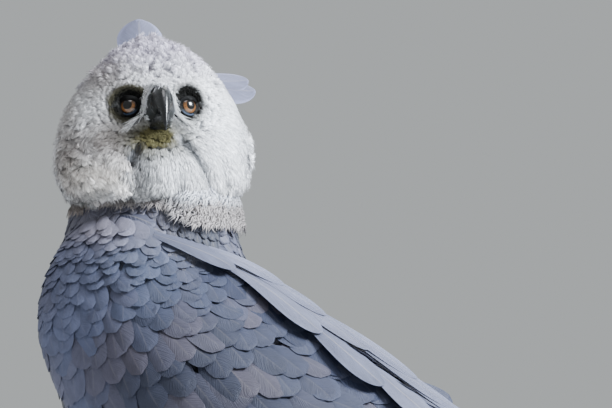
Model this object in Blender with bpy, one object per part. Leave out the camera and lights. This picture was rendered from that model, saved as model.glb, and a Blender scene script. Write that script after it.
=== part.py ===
"""A harpy eagle at life size, standing with its head turned over its left shoulder.

The bird faces -Y, its left side is +X and the floor is Z = 0. Lengths are metres.
Flight feathers, coverts, scapulars, crest and ruff are vanes fused to the part they grow from.
"""

import math
import random

import bmesh
import bpy
import numpy as np
from mathutils import Matrix, Vector

GAP = 0.0003
SLIVER = 0.000003
SHORT_EDGE = 0.00002
TURN_ROUNDS = 4
COLLECTION = "harpy_eagle"
# Half way from the foremost point to the end of the tail, as first drawn
MIDDLE_Y = 0.2327

# Head, in its own frame: it faces -Y, with the line between the eyes at the origin
HEAD_HEIGHT = 0.6205
HEAD_AXIS_Y = -0.103
HEAD_TURN = math.radians(115.5)
HEAD_RAISE = math.radians(12)
EYE_RADIUS = 0.0122
EYE_CENTRE = Vector((0.0295, -0.0385, 0.0))
EYE_TOE_OUT = math.radians(27)
LID_RING = 0.0103
LID_THICKNESS = 0.0021
LID_FORWARD = 0.0074
# Height, half width, reach forward and reach back of the level sections of the head
HEAD_LEVELS = (
    (-0.104, 0.047, 0.030, 0.044),
    (-0.094, 0.068, 0.045, 0.056),
    (-0.080, 0.081, 0.054, 0.064),
    (-0.062, 0.088, 0.058, 0.072),
    (-0.040, 0.090, 0.057, 0.078),
    (-0.020, 0.087, 0.055, 0.081),
    (0.000, 0.082, 0.055, 0.080),
    (0.018, 0.075, 0.053, 0.076),
    (0.036, 0.064, 0.048, 0.068),
    (0.053, 0.049, 0.040, 0.056),
    (0.067, 0.032, 0.028, 0.040),
    (0.077, 0.015, 0.013, 0.020),
)
HEAD_SQUARE = 2.4
RUFF_EACH_SIDE = 6

# Bill sections: culmen y and z, cutting edge y and z, half width
UPPER_BILL = (
    (-0.040, 0.019, -0.034, -0.0245, 0.0175),
    (-0.052, 0.0195, -0.047, -0.0225, 0.0160),
    (-0.062, 0.0190, -0.058, -0.0190, 0.0145),
    (-0.071, 0.0175, -0.066, -0.0155, 0.0128),
    (-0.080, 0.013, -0.073, -0.013, 0.0108),
    (-0.087, 0.005, -0.077, -0.0135, 0.0085),
    (-0.0915, -0.006, -0.081, -0.0165, 0.006),
    (-0.0935, -0.017, -0.085, -0.0215, 0.004),
    (-0.0938, -0.028, -0.0885, -0.0285, 0.0022),
)
BILL_TIP = Vector((0.0, -0.0925, -0.038))
CERE_FRONT = 3
LOWER_BILL = (
    (-0.030, -0.026, -0.028, -0.040, 0.0165),
    (-0.044, -0.0235, -0.042, -0.037, 0.0145),
    (-0.056, -0.0200, -0.055, -0.033, 0.0125),
    (-0.066, -0.0165, -0.065, -0.028, 0.0100),
    (-0.073, -0.0145, -0.0725, -0.0235, 0.0070),
)
LOWER_BILL_TIP = Vector((0.0, -0.077, -0.0185))
LIP_POINTS = (
    (0.0120, -0.0600, -0.0190),
    (0.0190, -0.0565, -0.0205),
    (0.0255, -0.0525, -0.0225),
    (0.0315, -0.0475, -0.0250),
)

# Neck and torso sections: back y and z, front y and z, half width
NECK_STATIONS = (
    (-0.056, 0.583, -0.136, 0.586, 0.034),
    (-0.036, 0.556, -0.158, 0.560, 0.049),
    (-0.022, 0.528, -0.180, 0.532, 0.064),
    (-0.018, 0.502, -0.190, 0.502, 0.078),
)
TORSO_STATIONS = (
    (-0.018, 0.502, -0.190, 0.502, 0.078),
    (-0.010, 0.474, -0.196, 0.455, 0.095),
    (0.010, 0.448, -0.200, 0.405, 0.105),
    (0.045, 0.423, -0.199, 0.350, 0.108),
    (0.095, 0.390, -0.172, 0.290, 0.108),
    (0.150, 0.351, -0.115, 0.235, 0.105),
    (0.205, 0.313, -0.030, 0.200, 0.097),
    (0.255, 0.278, 0.060, 0.180, 0.084),
    (0.300, 0.248, 0.145, 0.172, 0.067),
    (0.335, 0.225, 0.225, 0.172, 0.049),
    (0.360, 0.208, 0.290, 0.175, 0.034),
)
TORSO_SQUARE = 2.3

# Folded wing: the top, middle and lower points of its outer face, from the bend to the tip
WING_STATIONS = (
    ((0.070, -0.150, 0.508), (0.098, -0.194, 0.430), (0.100, -0.175, 0.345)),
    ((0.084, -0.088, 0.508), (0.122, -0.125, 0.415), (0.116, -0.135, 0.305)),
    ((0.034, 0.000, 0.484), (0.134, -0.045, 0.385), (0.120, -0.085, 0.262)),
    ((0.028, 0.100, 0.414), (0.138, 0.065, 0.315), (0.118, 0.040, 0.210)),
    ((0.028, 0.205, 0.340), (0.125, 0.180, 0.260), (0.110, 0.155, 0.180)),
    ((0.030, 0.300, 0.279), (0.106, 0.285, 0.232), (0.094, 0.270, 0.178)),
    ((0.030, 0.390, 0.232), (0.078, 0.385, 0.208), (0.072, 0.375, 0.180)),
    ((0.022, 0.485, 0.194), (0.052, 0.482, 0.182), (0.054, 0.475, 0.168)),
)

# Tail: the plane of its middle feathers
TAIL_ROOT = Vector((0.0, 0.315, 0.207))
TAIL_SLOPE = math.radians(25)
TAIL_LENGTH = 0.40
TAIL_ARCH = 3.0
RECTRICES_EACH_SIDE = 6

# Leg: half the distance between the feet, and the points that the leg passes
FOOT_X = 0.074
FOOT_Y = 0.012
THIGH_STATIONS = (
    (0.052, 0.030, 0.262, 0.034, 0.060),
    (0.062, 0.012, 0.222, 0.037, 0.062),
    (0.069, 0.014, 0.183, 0.034, 0.053),
    (0.073, 0.032, 0.148, 0.026, 0.037),
    (0.074, 0.046, 0.120, 0.0185, 0.024),
    (0.074, 0.046, 0.104, 0.0165, 0.0195),
)
TARSUS_STATIONS = (
    (0.074, 0.050, 0.128, 0.0125, 0.0150),
    (0.074, 0.044, 0.104, 0.0118, 0.0142),
    (0.074, 0.034, 0.076, 0.0112, 0.0130),
    (0.074, 0.025, 0.048, 0.0118, 0.0135),
    (0.074, 0.017, 0.026, 0.0135, 0.0155),
)
PALM_RADII = (0.021, 0.025, 0.0175)
PALM_HEIGHT = 0.0155
# Name, heading from straight ahead towards the outside, toe and claw length, toe and claw radius
TOES = (
    ("inner", -30, 0.064, 0.056, 0.0122, 0.0082),
    ("middle", 4, 0.090, 0.048, 0.0120, 0.0074),
    ("outer", 38, 0.068, 0.041, 0.0112, 0.0066),
    ("hind", 189, 0.050, 0.070, 0.0132, 0.0098),
)
CLAW_CURL = math.radians(100)
CLAW_TIP_HEIGHT = 0.0008

# A vane's outline: the share of its length, and its width there as a share of the widest
VANE_FORM = ((0.0, 0.50), (0.30, 0.95), (0.66, 1.0), (0.90, 0.70), (1.0, 0.30))
LONG_VANE_FORM = ((0.0, 0.5), (0.20, 0.88), (0.44, 1.0), (0.68, 0.96), (0.89, 0.68), (1.0, 0.28))
SHORT_VANE_FORM = ((0.0, 0.55), (0.42, 1.0), (0.82, 0.80), (1.0, 0.34))
VANE_MIDDLE = 0.0012
VANE_EDGE = 0.0007

COLOURS = {
    "slate": ((0.105, 0.115, 0.145), 0.75),
    "white": ((0.74, 0.73, 0.72), 0.85),
    "dark": ((0.045, 0.048, 0.055), 0.70),
    "horn": ((0.030, 0.034, 0.040), 0.28),
    "skin": ((0.50, 0.38, 0.10), 0.55),
    "eye": ((0.035, 0.018, 0.010), 0.06),
}


def material(kind):
    """The Principled finish of one kind of surface, made once."""
    found = bpy.data.materials.get(kind)
    if found:
        return found
    made = bpy.data.materials.new(kind)
    made.use_nodes = True
    shader = made.node_tree.nodes["Principled BSDF"]
    colour, roughness = COLOURS[kind]
    shader.inputs["Base Color"].default_value = (*colour, 1.0)
    shader.inputs["Roughness"].default_value = roughness
    return made


def spline(rows, place):
    """The smooth curve through rows of numbers, read at a place from 0 to the last row."""
    rows = np.asarray(rows, float)
    last = len(rows) - 1
    place = min(max(place, 0.0), last)
    i = min(int(place), last - 1)
    t = place - i
    a, b = rows[i], rows[i + 1]
    before = rows[i - 1] if i else 2 * a - b
    after = rows[i + 2] if i + 2 <= last else 2 * b - a
    return 0.5 * (
        2 * a
        + (b - before) * t
        + (2 * before - 5 * a + 4 * b - after) * t * t
        + (3 * a - before - 3 * b + after) * t**3
    )


def rounded(angle, square):
    """Cosine and sine of an angle, drawn out towards a square as the power rises above 2."""
    c, s = math.cos(angle), math.sin(angle)
    power = 2.0 / square
    return math.copysign(abs(c) ** power, c), math.copysign(abs(s) ** power, s)


def add_object(name, mesh, kind):
    """A named object for a mesh, shaded smooth, in the eagle's collection."""
    obj = bpy.data.objects.new(name, mesh)
    mesh.materials.append(material(kind))
    mesh.shade_smooth()
    mesh.set_sharp_from_angle(angle=math.radians(50))
    bpy.data.collections[COLLECTION].objects.link(obj)
    return obj


def mesh_from(name, bm):
    """Turns a closed bmesh into a mesh of triangles that face outwards."""
    bmesh.ops.triangulate(bm, faces=bm.faces)
    bmesh.ops.recalc_face_normals(bm, faces=bm.faces)
    mesh = bpy.data.meshes.new(name)
    bm.to_mesh(mesh)
    bm.free()
    return mesh


def loft(name, rings, kind, start=None, end=None):
    """A closed skin over rings of points, with each end drawn to a pole or to its own middle."""
    bm = bmesh.new()
    rows = [[bm.verts.new(point) for point in ring] for ring in rings]
    count = len(rings[0])
    for low, high in zip(rows, rows[1:]):
        for i in range(count):
            j = (i + 1) % count
            bm.faces.new((low[i], low[j], high[j], high[i]))
    for row, pole in ((rows[0], start), (rows[-1], end)):
        middle = pole if pole is not None else sum((v.co for v in row), Vector()) / count
        hub = bm.verts.new(middle)
        for i in range(count):
            bm.faces.new((row[i], row[(i + 1) % count], hub))
    return add_object(name, mesh_from(name, bm), kind)


def vane_mesh(name, rings):
    """A thin closed vane over rings of six points, split into triangles alike on both faces."""
    bm = bmesh.new()
    rows = [[bm.verts.new(point) for point in ring] for ring in rings]
    for a, b in zip(rows, rows[1:]):
        for top, under in (((0, 1), (5, 4)), ((1, 2), (4, 3))):
            for i, j in (top, under):
                bm.faces.new((a[i], a[j], b[j]))
                bm.faces.new((a[i], b[j], b[i]))
        for i, j in ((0, 5), (2, 3)):
            bm.faces.new((a[i], a[j], b[j], b[i]))
    for row in (rows[0], rows[-1]):
        bm.faces.new((row[0], row[1], row[4], row[5]))
        bm.faces.new((row[1], row[2], row[3], row[4]))
    return mesh_from(name, bm)


def baked(obj):
    """The object's evaluated mesh in world space, as a new mesh."""
    bpy.context.view_layer.update()
    graph = bpy.context.evaluated_depsgraph_get()
    mesh = bpy.data.meshes.new_from_object(obj.evaluated_get(graph))
    mesh.transform(obj.matrix_world)
    return mesh


def neighbours(vertex):
    """The vertices that share an edge with a vertex."""
    return {edge.other_vert(vertex) for edge in vertex.link_edges}


def close_short_edges(bm):
    """Merges the ends of each edge that is too short to keep, where that leaves no fold."""
    for edge in list(bm.edges):
        if not edge.is_valid or edge.calc_length() > SHORT_EDGE:
            continue
        a, b = edge.verts
        if len(neighbours(a) & neighbours(b)) == 2:
            bmesh.ops.pointmerge(bm, verts=[a, b], merge_co=a.co)


def turn_slivers(bm):
    """Turns the long side of each flat sliver that a cut leaves, so that both faces open up."""
    for _ in range(TURN_ROUNDS):
        for face in list(bm.faces):
            if not face.is_valid:
                continue
            longest = max(face.edges, key=lambda edge: edge.calc_length())
            if 2 * face.calc_area() < SLIVER * longest.calc_length():
                bmesh.utils.edge_rotate(longest)


def keep_largest(mesh):
    """Leaves only the largest closed surface of a mesh, without its slivers."""
    bm = bmesh.new()
    bm.from_mesh(mesh)
    left = set(bm.faces)
    bodies = []
    while left:
        body, reach = set(), [left.pop()]
        while reach:
            face = reach.pop()
            body.add(face)
            for edge in face.edges:
                for other in edge.link_faces:
                    if other in left:
                        left.discard(other)
                        reach.append(other)
        bodies.append(body)
    bodies.sort(key=lambda body: sum(face.calc_area() for face in body))
    loose = [face for body in bodies[:-1] for face in body]
    bmesh.ops.delete(bm, geom=loose, context="FACES")
    bmesh.ops.triangulate(bm, faces=bm.faces)
    close_short_edges(bm)
    turn_slivers(bm)
    close_short_edges(bm)
    bm.to_mesh(mesh)
    bm.free()


def combine(target, others, operation):
    """Joins objects to the target or cuts them from it, then removes them."""
    if not others:
        return target
    holder = bpy.data.collections.new("cutters")
    bpy.context.scene.collection.children.link(holder)
    for other in others:
        for used in list(other.users_collection):
            used.objects.unlink(other)
        holder.objects.link(other)
        other.display_type = "WIRE"
        other.hide_render = True
    modifier = target.modifiers.new("Boolean", "BOOLEAN")
    modifier.operation = operation
    modifier.solver = "MANIFOLD"
    modifier.operand_type = "COLLECTION"
    modifier.collection = holder
    mesh = baked(target)
    target.modifiers.clear()
    keep_largest(mesh)
    target.parent = None
    target.matrix_world = Matrix.Identity(4)
    target.data = mesh
    for other in others:
        bpy.data.objects.remove(other)
    bpy.data.collections.remove(holder)
    return target


def grown(obj, by=GAP):
    """A copy of a solid, swollen by a small even amount, to cut its neighbours with."""
    bm = bmesh.new()
    bm.from_mesh(baked(obj))
    bm.normal_update()
    moves = [(v, v.normal * by * min(v.calc_shell_factor(), 1.6)) for v in bm.verts]
    for vertex, move in moves:
        vertex.co += move
    return add_object("cutter", mesh_from("cutter", bm), "dark")


def fit(child, *parents):
    """Cuts a part back from what it grows from, leaving the gap that touching meshes keep."""
    return combine(child, [grown(parent) for parent in parents], "DIFFERENCE")


def mirrored(points, side):
    """Points of the left side, or of the right side where side is -1."""
    return [Vector((p[0] * side, p[1], p[2])) for p in points]


def section_ring(station, count, square):
    """A ring between a back point and a front point of the body, with its half width."""
    back_y, back_z, front_y, front_z, half = station
    back, front = Vector((0, back_y, back_z)), Vector((0, front_y, front_z))
    middle, reach = (back + front) / 2, (back - front) / 2
    points = []
    for k in range(count):
        c, s = rounded(2 * math.pi * k / count, square)
        points.append(middle + reach * c + Vector((half * s, 0, 0)))
    return points


def make_torso():
    """Breast, back and belly in one piece, out to the lie of the small feathers."""
    stations = len(TORSO_STATIONS) - 1
    steps = 14
    rings = [
        section_ring(spline(TORSO_STATIONS, stations * k / steps), 18, TORSO_SQUARE)
        for k in range(steps + 1)
    ]
    return loft("torso", rings, "slate", end=Vector((0, 0.346, 0.184)))


def make_neck():
    """The thick feathered neck, from the shoulders up into the head."""
    stations = len(NECK_STATIONS) - 1
    steps = 5
    rings = []
    for k in range(steps + 1):
        ring = section_ring(spline(NECK_STATIONS, stations * k / steps), 18, TORSO_SQUARE)
        lift = Vector((0, 0, GAP if k == steps else 0))
        rings.append([point + lift for point in ring])
    return loft("neck", rings, "dark")


def head_surface(level, angle):
    """A point of the head: level runs up the sections, angle from the face round to the left."""
    height, half, front, back = spline(HEAD_LEVELS, level)
    c, s = rounded(angle, HEAD_SQUARE)
    point = Vector((half * s, -(front if c > 0 else back) * c, height))
    if point.y < 0:
        for side in (1, -1):
            eye = Vector((point.x - side * 0.031, 0, (height - 0.001) * 0.9))
            gape = Vector((point.x - side * 0.026, 0, height + 0.024))
            brow = Vector(((point.x - side * 0.030) * 0.6, 0, height - 0.0185))
            point.y += 0.0085 * math.exp(-eye.length_squared / 0.0135**2)
            point.y += 0.0050 * math.exp(-gape.length_squared / 0.0110**2)
            point.y -= 0.0045 * math.exp(-brow.length_squared / 0.0085**2)
    return point


def head_frame():
    """Where the head's own frame stands in the world: raised a little, then turned."""
    return (
        Matrix.Translation((0, HEAD_AXIS_Y, HEAD_HEIGHT))
        @ Matrix.Rotation(HEAD_TURN, 4, "Z")
        @ Matrix.Rotation(-HEAD_RAISE, 4, "X")
    )


def free_vane(name, root, tip, face, width, bend, form=VANE_FORM):
    """A straight or bent vane between two points. face is the way its upper side looks."""
    along = (tip - root).normalized()
    side = along.cross(face).normalized()
    up = side.cross(along).normalized()
    rings = []
    for share, wide in form:
        middle = root.lerp(tip, share) + up * bend * 4 * share * (1 - share)
        half = width * wide / 2
        edge_top = up * (VANE_EDGE / 2) - up * (0.12 * half)
        edge_under = -up * (VANE_EDGE / 2) - up * (0.12 * half)
        ridge = up * (VANE_MIDDLE / 2)
        rings.append(
            (
                middle - side * half + edge_top,
                middle + ridge,
                middle + side * half + edge_top,
                middle + side * half + edge_under,
                middle - ridge,
                middle - side * half + edge_under,
            )
        )
    return add_object(name, vane_mesh(name, rings), "white")


def ruff_vanes(draw):
    """The ruff: broad feathers that overlap round the rim of the face and over the nape."""
    vanes = []
    for side in (1, -1):
        for k in range(RUFF_EACH_SIDE):
            share = k / (RUFF_EACH_SIDE - 1)
            here = head_surface(2.2 + 5.4 * share, side * math.radians(92))
            out = Vector((side, 0, 0))
            root = here - out * 0.010
            flow = (out * 0.55 + Vector((0, 0.65, 0.70 * share - 0.95))).normalized()
            tip = root + flow * (0.038 - 0.006 * share) * draw.uniform(0.94, 1.08)
            face = Vector((side * 0.45, -1, 0.25))
            vanes.append(free_vane("ruff", root, tip, face, 0.038, 0.003, SHORT_VANE_FORM))
    # Chin, then nape: count, level, first and last angle, length, width, and how far out it stands
    for count, level, first, last, length, width, lift in (
        (6, 2.0, -66, 66, 0.032, 0.038, 0.14),
        (3, 2.2, 140, 220, 0.034, 0.044, 0.06),
    ):
        for k in range(count):
            angle = math.radians(first + (last - first) * k / (count - 1))
            here = head_surface(level, angle)
            out = Vector((here.x, here.y, 0)).normalized()
            root = here - out * 0.006 + Vector((0, 0, 0.004))
            flow = (out * lift + Vector((0, 0, -1))).normalized()
            tip = root + flow * length * draw.uniform(0.9, 1.05)
            beside = Vector((math.cos(angle), math.sin(angle), 0))
            face = out - beside * math.copysign(0.3, angle)
            vanes.append(free_vane("ruff", root, tip, face, width, 0.002, SHORT_VANE_FORM))
    return vanes


def lid_ring(side):
    """The lids round one eye."""
    bpy.ops.mesh.primitive_torus_add(
        major_radius=LID_RING,
        minor_radius=LID_THICKNESS,
        major_segments=12,
        minor_segments=4,
    )
    ring = bpy.context.object
    look = Vector((side * math.sin(EYE_TOE_OUT), -math.cos(EYE_TOE_OUT), 0.04)).normalized()
    centre = Vector((side * EYE_CENTRE.x, EYE_CENTRE.y, EYE_CENTRE.z)) + look * LID_FORWARD
    turn = look.to_track_quat("Z", "Y").to_matrix().to_4x4()
    ring.data.transform(Matrix.Translation(centre) @ turn)
    return ring


def make_head(place, draw):
    """The head with its lids, lips and ruff, cut out for the eyes."""
    levels = len(HEAD_LEVELS) - 1
    steps, count = 14, 24
    rings = [
        [head_surface(levels * k / steps, 2 * math.pi * j / count) for j in range(count)]
        for k in range(steps + 1)
    ]
    head = loft("head", rings, "white")
    added = [lid_ring(side) for side in (1, -1)]
    added += [lip(side) for side in (1, -1)]
    added += ruff_vanes(draw)
    combine(head, added, "UNION")
    head.data.transform(place)
    return head


def lip(side):
    """The fleshy corner of the mouth, from the bill out over the cheek."""
    rings = []
    for k, point in enumerate(LIP_POINTS):
        radius = 0.0022 - 0.0003 * k
        ring = []
        for j in range(6):
            turn = 2 * math.pi * j / 6
            spread = Vector((0, math.cos(turn) * radius, math.sin(turn) * radius))
            ring.append(Vector((point[0] * side, point[1], point[2])) + spread)
        rings.append(ring)
    return loft("lip", rings, "dark")


def bill_ring(station, count, narrow_top):
    """A ring of the bill between its ridge and its cutting edge."""
    top_y, top_z, low_y, low_z, half = station
    top, low = Vector((0, top_y, top_z)), Vector((0, low_y, low_z))
    middle, reach = (top + low) / 2, (top - low) / 2
    points = []
    for k in range(count):
        c, s = rounded(2 * math.pi * k / count, 2.3)
        width = half * s * (1 - narrow_top * c)
        points.append(middle + reach * c + Vector((width, 0, 0)))
    return points


def nostril(side):
    """The slanting slot of one nostril, to cut from the cere."""
    bpy.ops.mesh.primitive_uv_sphere_add(segments=8, ring_count=5, radius=1.0)
    slot = bpy.context.object
    place = Matrix.Translation((side * 0.0125, -0.0650, 0.0040))
    tilt = Matrix.Rotation(math.radians(24), 4, "X")
    slot.data.transform(place @ tilt @ Matrix.Diagonal((0.0032, 0.0021, 0.0052, 1)))
    return slot


def make_bill(place, head):
    """Cere, upper bill and lower bill, parted by thin cuts."""
    count = 16
    rings = [bill_ring(station, count, 0.26) for station in UPPER_BILL]
    cere = loft("cere", rings[: CERE_FRONT + 1], "dark")
    combine(cere, [nostril(1), nostril(-1)], "DIFFERENCE")
    step = Vector((0, -GAP, 0))
    front = [[point + step for point in ring] for ring in rings[CERE_FRONT:]]
    fine = [
        [Vector(spline([ring[j] for ring in front], k / 1.4)) for j in range(count)]
        for k in range(8)
    ]
    upper = loft("bill_upper", fine, "horn", end=BILL_TIP + step)
    low_rings = [bill_ring(station, count, 0.0) for station in LOWER_BILL]
    lower = loft("bill_lower", low_rings, "horn", end=LOWER_BILL_TIP)
    for piece in (cere, upper, lower):
        piece.data.transform(place)
    fit(lower, cere, upper, head)
    fit(cere, head)
    return [cere, upper, lower]


def make_eye(name, side, place):
    """One eyeball."""
    bpy.ops.mesh.primitive_uv_sphere_add(segments=12, ring_count=8, radius=EYE_RADIUS)
    ball = bpy.context.object
    mesh = ball.data
    mesh.transform(Matrix.Rotation(math.radians(90), 4, "X"))
    mesh.transform(Matrix.Translation((side * EYE_CENTRE.x, EYE_CENTRE.y, EYE_CENTRE.z)))
    mesh.transform(place)
    bpy.data.objects.remove(ball)
    return add_object(name, mesh, "eye")


def crest_fan(name, feathers, boss, place, head):
    """A tuft of crest feathers on one side of the crown, fused at a small root."""
    bpy.ops.mesh.primitive_uv_sphere_add(segments=10, ring_count=6, radius=0.010)
    root = bpy.context.object
    root.data.transform(Matrix.Translation(boss))
    root.name = name
    root.data.materials.append(material("slate"))
    for used in list(root.users_collection):
        used.objects.unlink(root)
    bpy.data.collections[COLLECTION].objects.link(root)
    vanes = []
    for start, tip, face, width, bend in feathers:
        vanes.append(free_vane("crest", Vector(start), Vector(tip), Vector(face), width, bend))
    combine(root, vanes, "UNION")
    root.data.transform(place)
    return fit(root, head)


def make_crest(place, head):
    """The crest: on the right it stands up, on the left it is spread out to the side."""
    right = (
        ((-0.005, 0.040, 0.056), (-0.003, 0.078, 0.1125), (-0.1, -0.9, 0.6), 0.043, -0.006),
        ((-0.014, 0.044, 0.052), (-0.050, 0.094, 0.066), (-0.5, -0.5, 0.9), 0.036, -0.004),
        ((-0.014, 0.041, 0.049), (-0.097, 0.056, 0.034), (-0.3, -0.35, 0.9), 0.030, -0.004),
    )
    left = (
        ((0.018, 0.040, 0.050), (0.113, 0.061, 0.041), (0.2, -0.8, 0.5), 0.034, -0.005),
        ((0.022, 0.045, 0.050), (0.080, 0.088, 0.058), (0.4, -0.4, 0.9), 0.036, -0.005),
        ((0.014, 0.048, 0.050), (0.034, 0.102, 0.086), (0.1, -0.4, 1.0), 0.036, -0.005),
    )
    return [
        crest_fan("crest_right", right, (-0.009, 0.044, 0.052), place, head),
        crest_fan("crest_left", left, (0.018, 0.045, 0.049), place, head),
    ]


def wing_point(p, q):
    """The outer face of the folded left wing: p from the bend to the tip, q from top to bottom."""
    rows = [[value for point in station for value in point] for station in WING_STATIONS]
    top, middle, low = spline(rows, p).reshape(3, 3)
    return top * (1 - q) * (1 - 2 * q) + middle * 4 * q * (1 - q) + low * q * (2 * q - 1)


def wing_frame(p, q):
    """How the wing's face runs at a place: its two slopes and the way out of it."""
    step = 0.01
    along = (wing_point(p + step, q) - wing_point(p - step, q)) / (2 * step)
    if p + step > len(WING_STATIONS) - 1 or p - step < 0:
        along = along * 2
    across = (wing_point(p, q + step) - wing_point(p, q - step)) / (2 * step)
    out = np.cross(across, along)
    return along, across, out / np.linalg.norm(out)


def wing_layer(p, q, depth):
    """A point at some depth under the wing's outer face."""
    _, _, out = wing_frame(p, q)
    return Vector(wing_point(p, q) - out * depth)


def wing_vane(line, step, stacked, width, root_depth, tip_depth, form):
    """One feather of the folded wing, tilted like a shingle so that the next one lies under it."""
    rings = []
    length = np.linalg.norm(wing_point(*line[1]) - wing_point(*line[0]))
    for share, wide in form:
        p, q = line[0] + (line[1] - line[0]) * share
        along, across, out = wing_frame(p, q)
        forward = along * (line[1] - line[0])[0] + across * (line[1] - line[0])[1]
        forward /= np.linalg.norm(forward)
        sideways = np.cross(out, forward)
        moved = np.array((p, q)) + step[0] + (step[1] - step[0]) * share
        beside = wing_point(*moved) - wing_point(p, q)
        ahead, apart = float(np.dot(beside, forward)), float(np.dot(beside, sideways))
        tilt = 0.0 if stacked else TILE_STEP / (ahead * ahead + apart * apart)
        slopes = np.stack([along, across], axis=1)
        per_metre = np.linalg.lstsq(slopes, sideways, rcond=None)[0]
        depth = tip_depth + tilt * ahead * length * (1 - share)
        if share == 0:
            depth = max(depth, root_depth)
        upper, under = [], []
        for place in (-1, 0, 1):
            offset = place * width * wide / 2
            thick = VANE_EDGE if place else VANE_MIDDLE
            at = np.array((p, q)) + per_metre * offset
            level = depth - tilt * apart * offset
            upper.append(wing_layer(at[0], at[1], level - thick / 2))
            under.append(wing_layer(at[0], at[1], level + thick / 2))
        rings.append(upper + under[::-1])
    return add_object("vane", vane_mesh("vane", rings), "slate")


# Feathers of the folded wing, tier by tier from the outermost in: count, place of the first and
# the last root, place of the first and the last tip, first and last width, depth, and outline.
# The tiers named after them lie as a stack, each feather under the one before
WING_TIERS = {
    "scapulars": (
        7, (0.95, 0.07), (3.15, 0.12), (1.95, 0.12), (4.45, 0.16),
        0.034, 0.048, -0.0020, SHORT_VANE_FORM,
    ),
    "median_coverts": (
        6, (0.45, 0.86), (2.35, 0.22), (1.15, 0.98), (3.15, 0.42),
        0.038, 0.044, 0.0008, SHORT_VANE_FORM,
    ),
    "greater_coverts": (
        6, (0.95, 1.00), (3.10, 0.28), (1.90, 1.08), (4.20, 0.52),
        0.036, 0.046, 0.0046, SHORT_VANE_FORM,
    ),
    "secondaries": (
        6, (1.70, 1.00), (3.50, 0.36), (3.30, 1.10), (5.15, 0.72),
        0.042, 0.050, 0.0098, VANE_FORM,
    ),
    "tertials": (
        2, (3.20, 0.22), (3.45, 0.32), (5.00, 0.18), (5.35, 0.46),
        0.050, 0.050, 0.0062, VANE_FORM,
    ),
    "primaries": (
        5, (2.60, 0.72), (3.40, 0.55), (5.30, 0.98), (6.95, 0.52),
        0.036, 0.042, 0.0168, LONG_VANE_FORM,
    ),
}
STACKED_TIERS = ("tertials", "primaries")
TILE_STEP = 0.0019
STACK_STEP = 0.0023
ROOT_BURIED = 0.0028
CORE_RINGS = (0.0, 0.25, 0.8, 1.6, 2.4, 3.1, 3.8)
CORE_FLOOR = (0.016, 0.026, 0.036, 0.036, 0.036, 0.034, 0.027)


def core_depth(p, q):
    """How deep the wing's flesh lies under its outer face, deeper behind each row of roots."""
    behind = p - (0.5 + (0.8 - q) * 2.7)
    places, depths = (-0.6, 0.0, 0.75, 1.6, 2.6), (0.0015, 0.0030, 0.0075, 0.0120, 0.0170)
    return float(np.interp(behind, places, depths))


def wing_core(name):
    """The arm and hand inside the folded wing, as far back as the flight feathers' roots."""
    rings = []
    for k, p in enumerate(CORE_RINGS):
        nose = 0.004 if k == 0 else 0.0
        high = np.interp(p, (0, 0.25, 2.0, 3.8), (0.05, 0.0, 0.03, 0.14))
        low = np.interp(p, (0, 0.25, 2.0, 3.8), (0.88, 0.96, 0.97, 0.72))
        places = [high + (low - high) * j / 6 for j in range(7)]
        outer = [wing_layer(p, q, core_depth(p, q) + nose) for q in places]
        floor = CORE_FLOOR[k]
        inner = [wing_layer(p, q, floor) for q in places[1:-1:2][::-1]]
        rings.append(outer + inner)
    return loft(name, rings, "slate")


def make_wing(name):
    """The left wing, folded: its core with every tier of feathers fused to it."""
    core = wing_core(name)
    vanes = []
    for tier_name, tier in WING_TIERS.items():
        count, root_a, root_b, tip_a, tip_b, wide_a, wide_b, depth, form = tier
        stacked = tier_name in STACKED_TIERS
        first = np.array((root_a, tip_a))
        step = (np.array((root_b, tip_b)) - first) / (count - 1)
        for k in range(count):
            line = first + step * k
            width = wide_a + (wide_b - wide_a) * k / (count - 1)
            level = depth + (STACK_STEP * k if stacked else 0)
            root = core_depth(*line[0]) + ROOT_BURIED
            vanes.append(wing_vane(line, step, stacked, width, root, level, form))
    return combine(core, vanes, "UNION")


def mirror_of(obj, name):
    """The same solid for the other side of the body."""
    bm = bmesh.new()
    bm.from_mesh(obj.data)
    for vertex in bm.verts:
        vertex.co.x = -vertex.co.x
    return add_object(name, mesh_from(name, bm), "slate")


def tail_point(x, length, depth):
    """A point of the tail's arched fan, some way back from its root and under its top."""
    back = Vector((0, math.cos(TAIL_SLOPE), -math.sin(TAIL_SLOPE)))
    up = Vector((0, math.sin(TAIL_SLOPE), math.cos(TAIL_SLOPE)))
    return TAIL_ROOT + back * length + Vector((x, 0, 0)) - up * (depth + TAIL_ARCH * x * x)


def tail_vane(root_x, tip_x, start, end, width, root_depth, depth, form):
    """One tail feather or tail covert, following the fan's arch."""
    rings = []
    for share, wide in form:
        middle = root_x + (tip_x - root_x) * share
        length = start + (end - start) * share
        level = root_depth + (depth - root_depth) * min(share / 0.2, 1.0)
        upper, under = [], []
        for place in (-1, 0, 1):
            x = middle + place * width * wide / 2
            thick = VANE_EDGE if place else VANE_MIDDLE
            upper.append(tail_point(x, length, level - thick / 2))
            under.append(tail_point(x, length, level + thick / 2))
        rings.append(upper + under[::-1])
    return add_object("vane", vane_mesh("vane", rings), "slate")


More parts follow.
